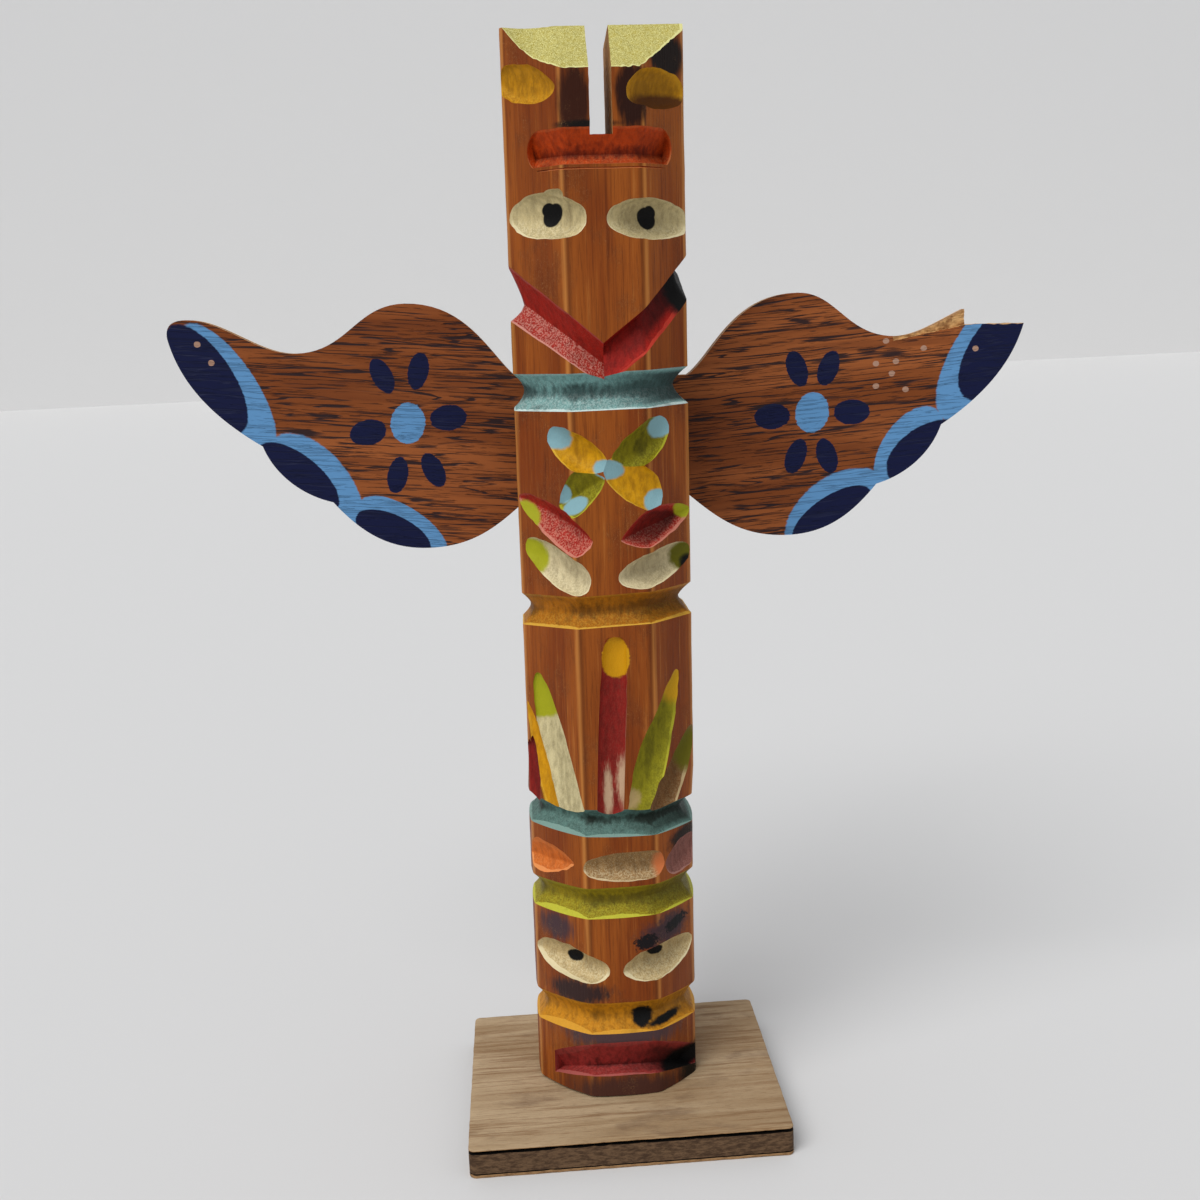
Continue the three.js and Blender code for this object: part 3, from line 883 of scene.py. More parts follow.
def new_group(name, inputs, outputs):
    """A shader node group with named sockets. Returns its tree, its input sockets by name, and its exit."""
    tree = bpy.data.node_groups.new(name, "ShaderNodeTree")
    kinds = {"vector": "NodeSocketVector", "value": "NodeSocketFloat", "color": "NodeSocketColor"}
    for direction, sockets in (("INPUT", inputs), ("OUTPUT", outputs)):
        for label, kind in sockets.items():
            tree.interface.new_socket(label, in_out=direction, socket_type=kinds[kind])
    entry = tree.nodes.new("NodeGroupInput")
    leave = tree.nodes.new("NodeGroupOutput")
    return tree, entry.outputs, leave.inputs


def use_group(tree, name, inputs):
    """Places a group in a tree and returns its outputs by name."""
    new = tree.nodes.new("ShaderNodeGroup")
    new.node_tree = bpy.data.node_groups[name]
    for key, value in inputs.items():
        if isinstance(value, bpy.types.NodeSocket):
            tree.links.new(value, new.inputs[key])
        else:
            new.inputs[key].default_value = value
    return new.outputs


# %% [markdown]
# ## Where a point is on the stick
# The finishes need three measures: the place in upright millimetres, the depth below the planed
# faces, and the distance from the nearest arris. The depth tells a rim from a valley in every cut, so
# worn lips and dirt in the bottoms come from one formula. The section is the same front and back, so
# the formula folds it with an absolute value and needs only three faces.

# %% Group: measure on the stick
def build_stick_measure():
    outputs = {"Place": "vector", "Depth": "value", "Arris": "value", "Side": "value"}
    tree, given, result = new_group("stick_measure", {"Object": "vector"}, outputs)
    turned = {"Vector": given["Object"], "Location": FOOT * MM, "Rotation": (0, LEAN, 0),
              "Scale": (MM, MM, MM)}
    place = add_node(tree, "Mapping", turned, vector_type="TEXTURE")
    parts = tree.nodes.new("ShaderNodeSeparateXYZ")
    tree.links.new(place, parts.inputs[0])
    x, y, z = parts.outputs
    half = calc(tree, "MULTIPLY_ADD", z, (HALF_TOP - HALF_FOOT) / HEIGHT)
    half.node.inputs[2].default_value = HALF_FOOT
    across = calc(tree, "ABSOLUTE", x)
    through = calc(tree, "ABSOLUTE", y)
    on_right = calc(tree, "GREATER_THAN", x, 0.0)
    leg = calc(tree, "MULTIPLY_ADD", on_right, RIGHT_LEG - LEFT_LEG)
    leg.node.inputs[2].default_value = LEFT_LEG
    to_side = calc(tree, "SUBTRACT", half, across)
    to_front = calc(tree, "SUBTRACT", half, through)
    corner = calc(tree, "SUBTRACT", calc(tree, "ADD", to_side, to_front), leg)
    to_corner = times(tree, corner, math.sqrt(0.5))
    nearest = calc(tree, "MINIMUM", calc(tree, "MINIMUM", to_side, to_front), to_corner)
    farthest = calc(tree, "MAXIMUM", calc(tree, "MAXIMUM", to_side, to_front), to_corner)
    total = calc(tree, "ADD", calc(tree, "ADD", to_side, to_front), to_corner)
    second = calc(tree, "SUBTRACT", calc(tree, "SUBTRACT", total, nearest), farthest)
    tree.links.new(place, result["Place"])
    tree.links.new(nearest, result["Depth"])
    tree.links.new(calc(tree, "SUBTRACT", second, nearest), result["Arris"])
    tree.links.new(calc(tree, "SUBTRACT", to_front, to_corner), result["Side"])


build_stick_measure()

# %% [markdown]
# ## A blot
# Pupils, petal tips, stains, brushed ovals and flecks are all spots with a more or less ragged edge.
# One group measures how far a point lies inside an ellipsoid, with a tilt and a wobble, and every spot
# on the object is one copy of it with its own centre and size.

# %% Group: blot
def build_blot():
    inputs = {"Place": "vector", "Centre": "vector", "Size": "vector", "Tilt": "value",
              "Edge": "value", "Ragged": "value", "Grain": "vector"}
    tree, given, result = new_group("blot", inputs, {"Mask": "value"})
    away = add_node(tree, "VectorMath", {0: given["Place"], 1: given["Centre"]}, operation="SUBTRACT")
    turned = add_node(tree, "VectorRotate", {"Vector": away, "Angle": given["Tilt"]},
                      rotation_type="Y_AXIS")
    inside = add_node(tree, "VectorMath", {0: turned, 1: given["Size"]}, operation="DIVIDE")
    reach = add_node(tree, "VectorMath", {0: inside}, output=1, operation="LENGTH")
    wobble = stretched_noise(tree, given["Place"], given["Grain"], detail=4.0, roughness=0.65)
    wobble = times(tree, calc(tree, "SUBTRACT", wobble, 0.5), given["Ragged"])
    reach = calc(tree, "ADD", reach, wobble)
    low = flip(tree, given["Edge"])
    high = calc(tree, "ADD", 1.0, given["Edge"])
    mask = flip(tree, ramp_up(tree, reach, low, high))
    tree.links.new(mask, result["Mask"])


build_blot()
Blot = namedtuple("Blot", "color centre size tilt edge ragged grain",
                  defaults=(0, 0.1, 0.3, (0.7, 0.7, 0.7)))


def lay_blots(tree, place, color, blots):
    """Paints each blot over the colour in turn."""
    for blot in blots:
        sockets = {"Place": place, "Centre": blot.centre, "Size": blot.size,
                   "Tilt": math.radians(blot.tilt),
                   "Edge": blot.edge, "Ragged": blot.ragged, "Grain": blot.grain}
        mask = use_group(tree, "blot", sockets)["Mask"]
        color = blend_color(tree, mask, color, blot.color)
    return color


# %% [markdown]
# ## Brushed paint in a cut
# The paint is thin: it stands thick and pale on the lower lip, and wears to pale fuzz on the wall that
# faces up. Both are paler where the wall faces up, which is painted highlight as well as wear. It
# darkens in the valley, under the upper wall and in the deeper parts of cuts on the right, which is
# painted shade together with dirt. The group mixes those from the depth, from which way the wall faces,
# from how far right the point lies, and from noise drawn out along the grain.

# %% Group: brushed paint
def build_brushed_paint():
    inputs = {"Place": "vector", "Depth": "value", "Up": "value", "Paint": "color", "Pale": "color",
              "Grime": "color", "Deep": "value", "Wear": "value", "Dirt": "value", "Fuzz": "value",
              "Right": "value"}
    tree, given, result = new_group("brushed_paint", inputs,
                                    {"Color": "color", "Height": "value", "Rough": "value"})
    place = given["Place"]
    brush = stretched_noise(tree, place, (0.9, 0.9, 0.35), detail=5.0, roughness=0.6)
    fleck = stretched_noise(tree, place, (2.6, 2.6, 2.2), detail=2.0, roughness=0.7)
    speck = stretched_noise(tree, place, (5.5, 5.5, 3.0), detail=2.0, roughness=0.6)
    cloudy = stretched_noise(tree, place, (0.16, 0.16, 0.16), detail=3.0)
    shade = ramp_up(tree, brush, 0.32, 0.72)
    body = blend_color(tree, times(tree, shade, 0.45), given["Paint"], given["Grime"])
    faces_up = ramp_up(tree, given["Up"], -0.05, 0.45)
    # Paler where the wall faces up: worn paint, and a painted highlight from the light above as well.
    worn_and_lit = times(tree, ramp_up(tree, fleck, 0.44, 0.60), times(tree, faces_up, given["Wear"]))
    body = blend_color(tree, worn_and_lit, body, given["Pale"])
    fuzz = times(tree, ramp_up(tree, speck, 0.50, 0.60), given["Fuzz"])
    body = blend_color(tree, fuzz, body, given["Pale"])
    # The pale lower lip is thick paint, made brighter where it faces up as a painted highlight.
    rim_noise = scaled(tree, brush, 0.5, 0.05)
    rim = calc(tree, "LESS_THAN", given["Depth"], rim_noise)
    lip_paint_and_highlight = times(tree, rim, scaled(tree, faces_up, 0.6, 0.15))
    body = blend_color(tree, lip_paint_and_highlight, body, given["Pale"])
    # The valley bottom is darkened: painted shade in the recess, together with dirt.
    share = calc(tree, "DIVIDE", given["Depth"], given["Deep"])
    bottom = ramp_up(tree, calc(tree, "ADD", share, times(tree, brush, 0.5)), 0.85, 1.35)
    # Deeper parts of cuts on the right face away from the light on the left and are darkened as painted
    # shade, with dirt.
    to_right = ramp_up(tree, add_side(tree, place), -6.0, 20.0)
    right_shade_and_dirt = times(tree, times(tree, to_right, given["Right"]), ramp_up(tree, share, 0.1, 0.6))
    blackened = calc(tree, "MAXIMUM", times(tree, bottom, given["Dirt"]), right_shade_and_dirt)
    patchy = times(tree, ramp_up(tree, cloudy, 0.55, 0.72), times(tree, given["Dirt"], 0.5))
    blackened = calc(tree, "MAXIMUM", blackened, patchy, clamp=True)
    body = blend_color(tree, blackened, body, given["Grime"])
    pit = times(tree, ramp_up(tree, speck, 0.66, 0.72), times(tree, given["Dirt"], 0.9))
    body = blend_color(tree, pit, body, given["Grime"])
    height = calc(tree, "ADD", times(tree, brush, 0.6), times(tree, speck, 0.4))
    tree.links.new(body, result["Color"])
    tree.links.new(height, result["Height"])
    tree.links.new(scaled(tree, brush, 0.25, 0.42), result["Rough"])


def add_side(tree, place):
    """How far to the right a point lies, in millimetres."""
    parts = tree.nodes.new("ShaderNodeSeparateXYZ")
    tree.links.new(place, parts.inputs[0])
    return parts.outputs[0]


build_brushed_paint()

# %% [markdown]
# ## Finishing a material
# Each material ends the same way: its colour, roughness and a fine bump go into one Principled
# shader. The bump is in metres, since that is what the object is made in.

# %% Close a material
def open_material(material):
    """Clears a material and returns its tree, the Object coordinates and the surface normal."""
    material.use_nodes = True
    tree = material.node_tree
    tree.nodes.clear()
    where = add_node(tree, "TexCoord", output=3)
    normal = add_node(tree, "NewGeometry", output=1)
    parts = tree.nodes.new("ShaderNodeSeparateXYZ")
    tree.links.new(normal, parts.inputs[0])
    return tree, where, parts.outputs


def close_material(tree, color, roughness, height, depth_mm, coat=0.0):
    bump = add_node(tree, "Bump", {"Height": height, "Distance": depth_mm * MM, "Strength": 1.0})
    shader = tree.nodes.new("ShaderNodeBsdfPrincipled")
    tree.links.new(color, shader.inputs["Base Color"])
    tree.links.new(roughness, shader.inputs["Roughness"])
    tree.links.new(bump, shader.inputs["Normal"])
    shader.inputs["Coat Weight"].default_value = coat
    shader.inputs["Coat Roughness"].default_value = 0.35
    shader.inputs["Specular IOR Level"].default_value = 0.12
    finish = tree.nodes.new("ShaderNodeOutputMaterial")
    tree.links.new(shader.outputs[0], finish.inputs["Surface"])


# %% [markdown]
# ## The paints
# One line of this list is one pot of paint: its colour, how pale it wears and catches the light, what
# its dirt and painted shade look like, how deep its cuts go, and how much of each effect shows. The
# tips of other colours, the pupils and the worst stains follow as blots, and so do a few black patches
# on the right that are painted shade together with dirt.

# %% Pots of paint
Pot = namedtuple("Pot", "paint pale grime deep wear dirt fuzz right blots")
BLACK = tint(9, 8, 8)
SKY = tint(128, 166, 174)
LIME = tint(158, 158, 28)
MUSTARD = tint(198, 142, 14)
CREAM = tint(226, 213, 172)
POTS = {
    "brow_lime": Pot(tint(172, 156, 66), tint(222, 218, 150), tint(118, 112, 58), 8, 0.3, 0.0, 0.9, 0, []),
    "ear_ochre": Pot(tint(188, 130, 12), tint(216, 166, 44), tint(92, 58, 8), 2.2, 0.4, 0.4, 0.1, 0.35, [
        Blot(tint(84, 46, 10), (15, -15, 231.8), (8, 6, 2.4), 0, 0.3, 0.4),
    ]),
    "bar_orange": Pot(tint(182, 62, 8), tint(196, 120, 72), tint(58, 6, 3), 2.8, 0.35, 0.8, 0.08, 0.3, []),
    "eye_cream": Pot(tint(196, 178, 130), CREAM, tint(92, 78, 50), 3.6, 0.5, 0.35, 0.2, 0.25, [
        Blot(BLACK, (-9.6, -17.2, 209.0), (1.9, 3.0, 2.7), -28, 0.07, 0.15),
        Blot(BLACK, (11.0, -17.8, 207.8), (2.0, 3.0, 2.5), 30, 0.07, 0.15),
        Blot(BLACK, (-10.6, -16.2, 210.3), (1.3, 2.5, 1.5), -30, 0.1, 0.15),
        Blot(BLACK, (11.8, -16.8, 209.1), (1.3, 2.5, 1.5), 30, 0.1, 0.15),
    ]),
    "beak_rosy": Pot(tint(158, 30, 18), tint(206, 146, 130), tint(70, 14, 10), 3.3, 0.6, 0.1, 0.05, 0, []),
    "beak_red": Pot(tint(158, 22, 12), tint(190, 60, 44), tint(20, 3, 3), 2.7, 0.2, 0.4, 0.03, 0.9, [
        # The black at the right end of this arm is painted shade, where the cut faces away from the light,
        # together with dirt.
        Blot(BLACK, (19.5, -9.5, 192.5), (4.8, 20, 8.5), 20, 0.25, 0.4),
    ]),
    "ring_sky": Pot(tint(112, 156, 152), tint(214, 230, 224), tint(20, 28, 27), 2.4, 0.3, 0.75, 0.15,
                    0.9, []),
    "ring_ochre": Pot(tint(166, 98, 6), tint(216, 168, 62), tint(54, 32, 5), 2.2, 0.25, 0.6, 0.1, 0.55, []),
    "ring_teal": Pot(tint(80, 112, 104), tint(130, 160, 150), tint(20, 22, 14), 2.6, 0.2, 0.9, 0.25, 0.8,
                     []),
    "ring_lime": Pot(tint(138, 118, 14), tint(196, 194, 62), tint(56, 46, 12), 2.1, 0.3, 0.55, 0.15,
                     0.55, []),
    "ring_amber": Pot(tint(190, 124, 18), tint(214, 156, 50), tint(50, 28, 8), 2.2, 0.25, 0.45, 0.1, 0.3, [
        Blot(BLACK, (5.5, -17.5, 20.0), (2.6, 4, 2.6), 0, 0.2, 0.7),
        Blot(BLACK, (11.5, -15.5, 18.2), (7, 5, 0.9), 6, 0.3, 0.8),
    ]),
    "petal_yellow": Pot(tint(206, 148, 10), tint(222, 178, 60), tint(104, 62, 6), 3.0, 0.2, 0.3, 0.05,
                        0.1, [
        Blot(SKY, (-11.4, -15.2, 161.0), (4.6, 5, 3.0), -30, 0.12, 0.3),
        Blot(SKY, (11.6, -17.0, 145.4), (2.9, 4, 2.4), 30, 0.12, 0.3),
        Blot(SKY, (0.9, -18.4, 152.9), (3.5, 4, 2.2), -8, 0.12, 0.3),
    ]),
    "petal_green": Pot(tint(124, 114, 10), tint(176, 172, 44), tint(40, 34, 5), 3.2, 0.35, 0.55, 0.1, 0.2, [
        Blot(SKY, (13.4, -15.6, 162.4), (3.6, 4, 2.6), 35, 0.12, 0.3),
        Blot(SKY, (-9.6, -16.6, 147.6), (2.0, 4, 2.4), 20, 0.12, 0.3),
        Blot(SKY, (-6.8, -18.4, 144.8), (3.0, 4, 1.6), 30, 0.12, 0.3),
        Blot(SKY, (0.9, -18.4, 152.9), (3.5, 4, 2.2), -8, 0.12, 0.3),
    ]),
    "leaf_red": Pot(tint(166, 32, 20), tint(204, 132, 112), tint(36, 5, 5), 3.0, 0.6, 0.3, 0.1, 0.9, [
        Blot(LIME, (-18.2, -8.6, 141.8), (3.4, 4, 3.6), 30, 0.15, 0.35),
        Blot(LIME, (18.6, -10.8, 142.8), (2.6, 4, 2.4), 0, 0.15, 0.35),
    ]),
    "leaf_cream": Pot(tint(204, 188, 148), CREAM, tint(104, 88, 60), 2.8, 0.5, 0.3, 0.25, 0.2, [
        Blot(LIME, (-16.8, -9.8, 132.6), (3.6, 4, 4.2), 25, 0.15, 0.35),
        # On the right tip the darker lime is a painted shade copy of the lime, and the black spot is
        # painted shade together with dirt.
        Blot(tint(96, 92, 14), (18.2, -11.2, 131.6), (3.4, 4, 3.4), 0, 0.2, 0.4),
        Blot(BLACK, (19.2, -9.8, 129.6), (2.0, 3, 2.2), 0, 0.3, 0.5),
    ]),
    "stroke_red": Pot(tint(138, 30, 24), tint(196, 160, 130), tint(66, 12, 8), 1.7, 0.12, 0.2, 0.05, 0, [
        Blot(tint(188, 156, 126), (2.6, -18.6, 79.5), (1.6, 4, 5.5), 0, 0.5, 1.4, (2.6, 2.6, 0.5)),
        Blot(tint(188, 156, 126), (-1.2, -18.6, 76.5), (1.0, 4, 6.0), 0, 0.5, 1.4, (2.6, 2.6, 0.5)),
        Blot(MUSTARD, (1.35, -18.6, 109.4), (3.4, 5, 4.9), 0, 0.08, 0.25, (0.6, 0.6, 1.6)),
    ]),
    "stroke_cream": Pot(tint(204, 190, 144), CREAM, tint(96, 82, 48), 1.8, 0.4, 0.3, 0.35, 0, [
        Blot(LIME, (-15.8, -10.8, 100.6), (6, 6, 7.0), 0, 0.08, 0.2),
    ]),
    "stroke_yellow": Pot(tint(204, 144, 12), tint(220, 176, 60), tint(120, 74, 10), 1.4, 0.2, 0.2, 0.05,
                         0, []),
    "stroke_green": Pot(tint(136, 128, 20), tint(182, 178, 52), tint(58, 52, 10), 3.0, 0.4, 0.5, 0.12,
                        0.15, [
        Blot(tint(190, 144, 24), (15.8, -13.6, 103.2), (4.4, 5, 6.2), 0, 0.25, 0.4),
        Blot(tint(176, 150, 100), (3.6, -18.2, 75.2), (2.6, 4, 2.6), 0, 0.4, 0.9),
    ]),
    "stroke_bare": Pot(tint(126, 84, 44), tint(206, 182, 136), tint(52, 30, 12), 2.4, 0.2, 0.5, 0.15, 0.3, [
        Blot(tint(98, 92, 16), (18.4, -11.0, 84.6), (3.6, 4, 5.2), 0, 0.3, 0.5),
    ]),
    "stroke_crimson": Pot(tint(134, 28, 22), tint(190, 90, 70), tint(60, 10, 8), 1.6, 0.2, 0.3, 0.05, 0,
                          []),
    "gouge_orange": Pot(tint(202, 104, 36), tint(228, 150, 88), tint(120, 52, 18), 1.8, 0.25, 0.3, 0.1,
                        0, []),
    "gouge_cream": Pot(tint(152, 116, 70), tint(220, 200, 160), tint(76, 52, 26), 2.2, 0.4, 0.45, 0.3,
                       0.1, [
        Blot(tint(186, 104, 58), (12.0, -17.0, 58.5), (3.0, 4, 3.6), 0, 0.4, 0.6),
    ]),
    "gouge_mauve": Pot(tint(132, 82, 72), tint(176, 128, 116), tint(64, 32, 26), 1.9, 0.3, 0.3, 0.2, 0, []),
    "stern_eye": Pot(tint(188, 162, 112), CREAM, tint(100, 78, 44), 3.4, 0.45, 0.3, 0.3, 0.2, [
        Blot(BLACK, (-9.9, -16.4, 34.4), (2.0, 4, 1.5), 12, 0.12, 0.5),
        Blot(BLACK, (9.2, -17.6, 35.6), (2.0, 4, 1.4), -8, 0.12, 0.5),
    ]),
    "mouth_red": Pot(tint(146, 44, 40), tint(176, 96, 88), tint(18, 6, 6), 3.0, 0.25, 0.8, 0.1, 1.0, [
        # The black at the mouth's right end is painted shade together with dirt.
        Blot(BLACK, (15.5, -12.5, 5.0), (7, 6, 3.2), 16, 0.3, 0.4),
    ]),
}


THROUGH = 60.0


def reach_through(blot):
    """The same blot, deep enough from front to back to reach the bottom of any cut."""
    return blot._replace(size=(blot.size[0], THROUGH, blot.size[2]))


def finish_paint(name, pot):
    tree, where, facing = open_material(paint_materials[name])
    measure = use_group(tree, "stick_measure", {"Object": where})
    sockets = {"Place": measure["Place"], "Depth": measure["Depth"], "Up": facing[2], "Paint": pot.paint,
               "Pale": pot.pale, "Grime": pot.grime, "Deep": pot.deep, "Wear": pot.wear, "Dirt": pot.dirt,
               "Fuzz": pot.fuzz, "Right": pot.right}
    coat = use_group(tree, "brushed_paint", sockets)
    blots = pot.blots if name.startswith("ring") else [reach_through(blot) for blot in pot.blots]
    color = lay_blots(tree, measure["Place"], coat["Color"], blots)
    close_material(tree, color, coat["Rough"], coat["Height"], 0.25)


for name, pot in POTS.items():
    finish_paint(name, pot)
print(len(POTS), "paints mixed")

# %% [markdown]
# ## Stained softwood
# The stick was stained a warm honey brown and handled until it shone. Along the grain run fine pale
# and dark streaks, stretched some thirty times longer than they are wide. Arrises are rubbed pale on
# one side, a pale line that is also a painted highlight, with a dark line on the other. Old dirt sits
# under the forehead and round the foot, and three black patches on the right are painted shade
# together with dirt.

# %% Wood of the stick
STAIN_GRAIN = (0.9, 0.9, 0.12)
# The black patches on the right at the top (242 mm), under the third ring (64 mm) and by the mouth (3 mm)
# are painted shade together with dirt.
WOOD_BLOTS = [
    Blot(tint(52, 20, 6), (-4.4, -20, 232.4), (3.4, 5, 8.0), 0, 0.3, 1.0, STAIN_GRAIN),
    Blot(tint(40, 14, 5), (8.0, -20, 233.0), (3.6, 5, 7.4), 0, 0.3, 1.0, STAIN_GRAIN),
    Blot(tint(22, 9, 4), (15.8, -14, 242.4), (5.6, 6, 5.0), -40, 0.25, 0.9, STAIN_GRAIN),
    Blot(tint(14, 8, 6), (-2.0, -20, 227.6), (6.5, 4, 0.8), 0, 0.5, 0.7),
    Blot(tint(60, 40, 44), (12.6, -17, 41.6), (7.0, 6, 4.0), 10, 0.5, 1.3),
    Blot(tint(14, 11, 13), (14.6, -15, 42.6), (3.6, 5, 1.4), 24, 0.25, 2.6, (1.1, 1.1, 1.1)),
    Blot(tint(20, 15, 17), (7.2, -19, 39.6), (2.8, 4, 1.8), 10, 0.25, 2.8, (1.3, 1.3, 1.3)),
    Blot(tint(50, 32, 30), (-10.6, -17, 26.6), (9.0, 7, 3.2), 4, 0.4, 1.5, (0.9, 0.9, 0.25)),
    Blot(tint(66, 46, 50), (-14.6, -13, 42.4), (5.0, 6, 3.2), 0, 0.5, 1.6, STAIN_GRAIN),
    Blot(tint(74, 54, 56), (0.0, -19, 16.0), (17.0, 8, 3.6), 0, 0.5, 1.7, STAIN_GRAIN),
    Blot(tint(72, 42, 34), (2.0, -18, 1.4), (16.0, 10, 4.4), 0, 0.5, 1.2, STAIN_GRAIN),
    Blot(tint(10, 7, 6), (18.6, -10, 3.0), (4.6, 7, 5.4), 0, 0.4, 0.8),
    Blot(tint(30, 16, 8), (18.0, -12, 63.6), (6.4, 6, 2.6), 16, 0.4, 0.9),
    Blot(MUSTARD, (1.35, -19.6, 109.4), (3.2, 3, 4.8), 0, 0.06, 0.25, (0.6, 0.6, 1.6)),
]


def finish_stick_wood():
    tree, where, facing = open_material(paint_materials["wood"])
    measure = use_group(tree, "stick_measure", {"Object": where})
    place = measure["Place"]
    broad = stretched_noise(tree, place, (0.11, 0.11, 0.016), detail=2.0, distortion=0.4)
    streak = stretched_noise(tree, place, (1.25, 1.25, 0.03), detail=5.0, roughness=0.62, distortion=0.2)
    fine = stretched_noise(tree, place, (4.2, 4.2, 0.14), detail=3.0, roughness=0.6)
    blotch = stretched_noise(tree, place, (0.10, 0.10, 0.07), detail=4.0, roughness=0.65)
    color = blend_color(tree, ramp_up(tree, broad, 0.36, 0.66), tint(146, 76, 22), tint(120, 54, 12))
    dark_streak = times(tree, ramp_up(tree, streak, 0.48, 0.72), 0.5)
    color = blend_color(tree, dark_streak, color, tint(82, 30, 6))
    color = blend_color(tree, times(tree, ramp_up(tree, fine, 0.52, 0.70), 0.42), color, tint(70, 28, 8))
    pale_streak = flip(tree, ramp_up(tree, streak, 0.28, 0.42))
    color = blend_color(tree, times(tree, pale_streak, 0.4), color, tint(186, 120, 56))
    color = blend_color(tree, times(tree, ramp_up(tree, blotch, 0.50, 0.72), 0.45), color, tint(84, 36, 12))
    arris = calc(tree, "ADD", measure["Arris"], times(tree, calc(tree, "SUBTRACT", streak, 0.5), 1.4))
    edge = flip(tree, ramp_up(tree, arris, 0.25, 1.1))
    sign = ramp_up(tree, measure["Side"], -0.4, 0.4)
    # The pale line on one side of each arris is rubbed wear and a painted highlight together.
    rubbed_and_highlit = times(tree, edge, sign)
    lined = times(tree, edge, flip(tree, sign))
    color = blend_color(tree, times(tree, rubbed_and_highlit, 0.55), color, tint(200, 134, 66))
    color = blend_color(tree, times(tree, lined, 0.5), color, tint(62, 26, 8))
    color = lay_blots(tree, place, color, WOOD_BLOTS)
    scratch = stretched_noise(tree, place, (1.3, 1.3, 0.7), detail=1.0, distortion=2.5)
    line = flip(tree, ramp_up(tree, calc(tree, "ABSOLUTE", calc(tree, "SUBTRACT", scratch, 0.5)), 0.0,
                              0.012))
    line = times(tree, line, ramp_up(tree, blotch, 0.52, 0.62))
    color = blend_color(tree, times(tree, line, 0.35), color, tint(206, 156, 98))
    height = calc(tree, "ADD", times(tree, streak, 0.5), times(tree, fine, 0.5))
    roughness = scaled(tree, blotch, 0.35, 0.28)
    close_material(tree, color, roughness, height, 0.16, coat=0.03)


finish_stick_wood()


# %% [markdown]
# ## Raw wood in the slot
# Nobody painted inside the slot, so it shows pale wood with the marks of the saw's teeth.

# %% Raw saw cuts
def finish_raw_saw():
    tree, where, facing = open_material(paint_materials["raw_saw"])
    measure = use_group(tree, "stick_measure", {"Object": where})
    streak = stretched_noise(tree, measure["Place"], (1.4, 0.5, 0.10), detail=4.0, roughness=0.6)
    tooth = stretched_noise(tree, measure["Place"], (1.0, 0.3, 1.8), detail=2.0)
    color = blend_color(tree, ramp_up(tree, streak, 0.35, 0.7), tint(190, 144, 92), tint(124, 76, 36))
    # The black spot at the bottom of the slot's front is painted shade.
    color = lay_blots(tree, measure["Place"], color, [
        Blot(BLACK, (-0.4, -19.5, 225.6), (1.8, 2, 1.4), 0, 0.2, 0.8),
    ])
    roughness = scaled(tree, tooth, 0.2, 0.65)
    close_material(tree, color, roughness, tooth, 0.3)


finish_raw_saw()

# %% [markdown]
# ## The painted wing board
# Oak-faced plywood, stained: near-black open pores drawn out along the board over warm brown. Sawn
# edges are raw and show the plies. Each wing's lower edge has three navy ovals in sky-blue bands, and
# a six-petalled flower sits in its middle. They are flat paint, so they are blots on the front only.

# %% Wood and brushwork of the wings
NAVY = tint(14, 20, 56)
BAND = tint(92, 142, 188)
BRUSH = (0.5, 0.5, 1.6)


def oval(color, x, z, long, short, tilt, ragged=0.08):
    """A brushed oval on the front of the wings, tilted from level in degrees."""
    return Blot(color, (x, WING_FRONT, z), (long, 3, short), tilt, 0.02, ragged, BRUSH)


PETAL_BEARINGS = (0, 70, 110, 185, 250, 290)  # about the heart, in degrees
SIDE_REACH = 10.0


def flower(x, z, reach, turn):
    """A round sky-blue heart and its navy petals, which all point away from it."""
    marks = [oval(BAND, x, z, 5, 4.2, 80, 0.25)]
    for bearing in PETAL_BEARINGS:
        angle = math.radians(bearing + turn)
        sideways = abs(math.cos(angle)) > 0.9
        away = SIDE_REACH if sideways else reach
        width = 3.1 if sideways else 2.5
        marks.append(oval(NAVY, x + away * math.cos(angle), z + away * math.sin(angle), 4.5, width,
                          bearing + turn, 0.25))
    return marks


WING_BANDS = [
    oval(BAND, -91.5, 172, 18, 7, -60),
    oval(BAND, -72.5, 146, 16.5, 10, -58),
    oval(BAND, -51, 136.5, 12.5, 5.5, -35),
    oval(BAND, 95.5, 175.5, 19.5, 8.5, 57),
    oval(BAND, 76, 152, 12, 7, 56),
    oval(BAND, 58.5, 135, 15.5, 11, 37),
]
WING_OVALS = [
    oval(NAVY, -96.5, 174.5, 15, 6.5, -60),
    oval(NAVY, -76, 150, 12, 5.5, -42),
    oval(NAVY, -53.5, 135.5, 10, 4.5, -28),
    oval(NAVY, 98, 176, 14, 7, 56),
    oval(NAVY, 81, 151, 11.5, 7, 28),
    oval(NAVY, 56.5, 136, 11.5, 5, 32),
]
FLOWERS = flower(-48.5, 162.5, 13, 6) + flower(51.5, 162, 11.5, -1)
FLECK_PLACES = (
    (67.5, 173.5), (72.5, 174), (71.5, 171), (79.5, 177), (67.5, 168), (75, 167), (70, 179),
    (92.5, 176.5), (-98, 183), (-95, 178.5),
)
FLECKS = [oval(tint(168, 132, 112), x, z, 0.8, 0.7, 0, 0.6) for x, z in FLECK_PLACES]
GRAIN_RISE = 0.075  # the grain rises towards both tips


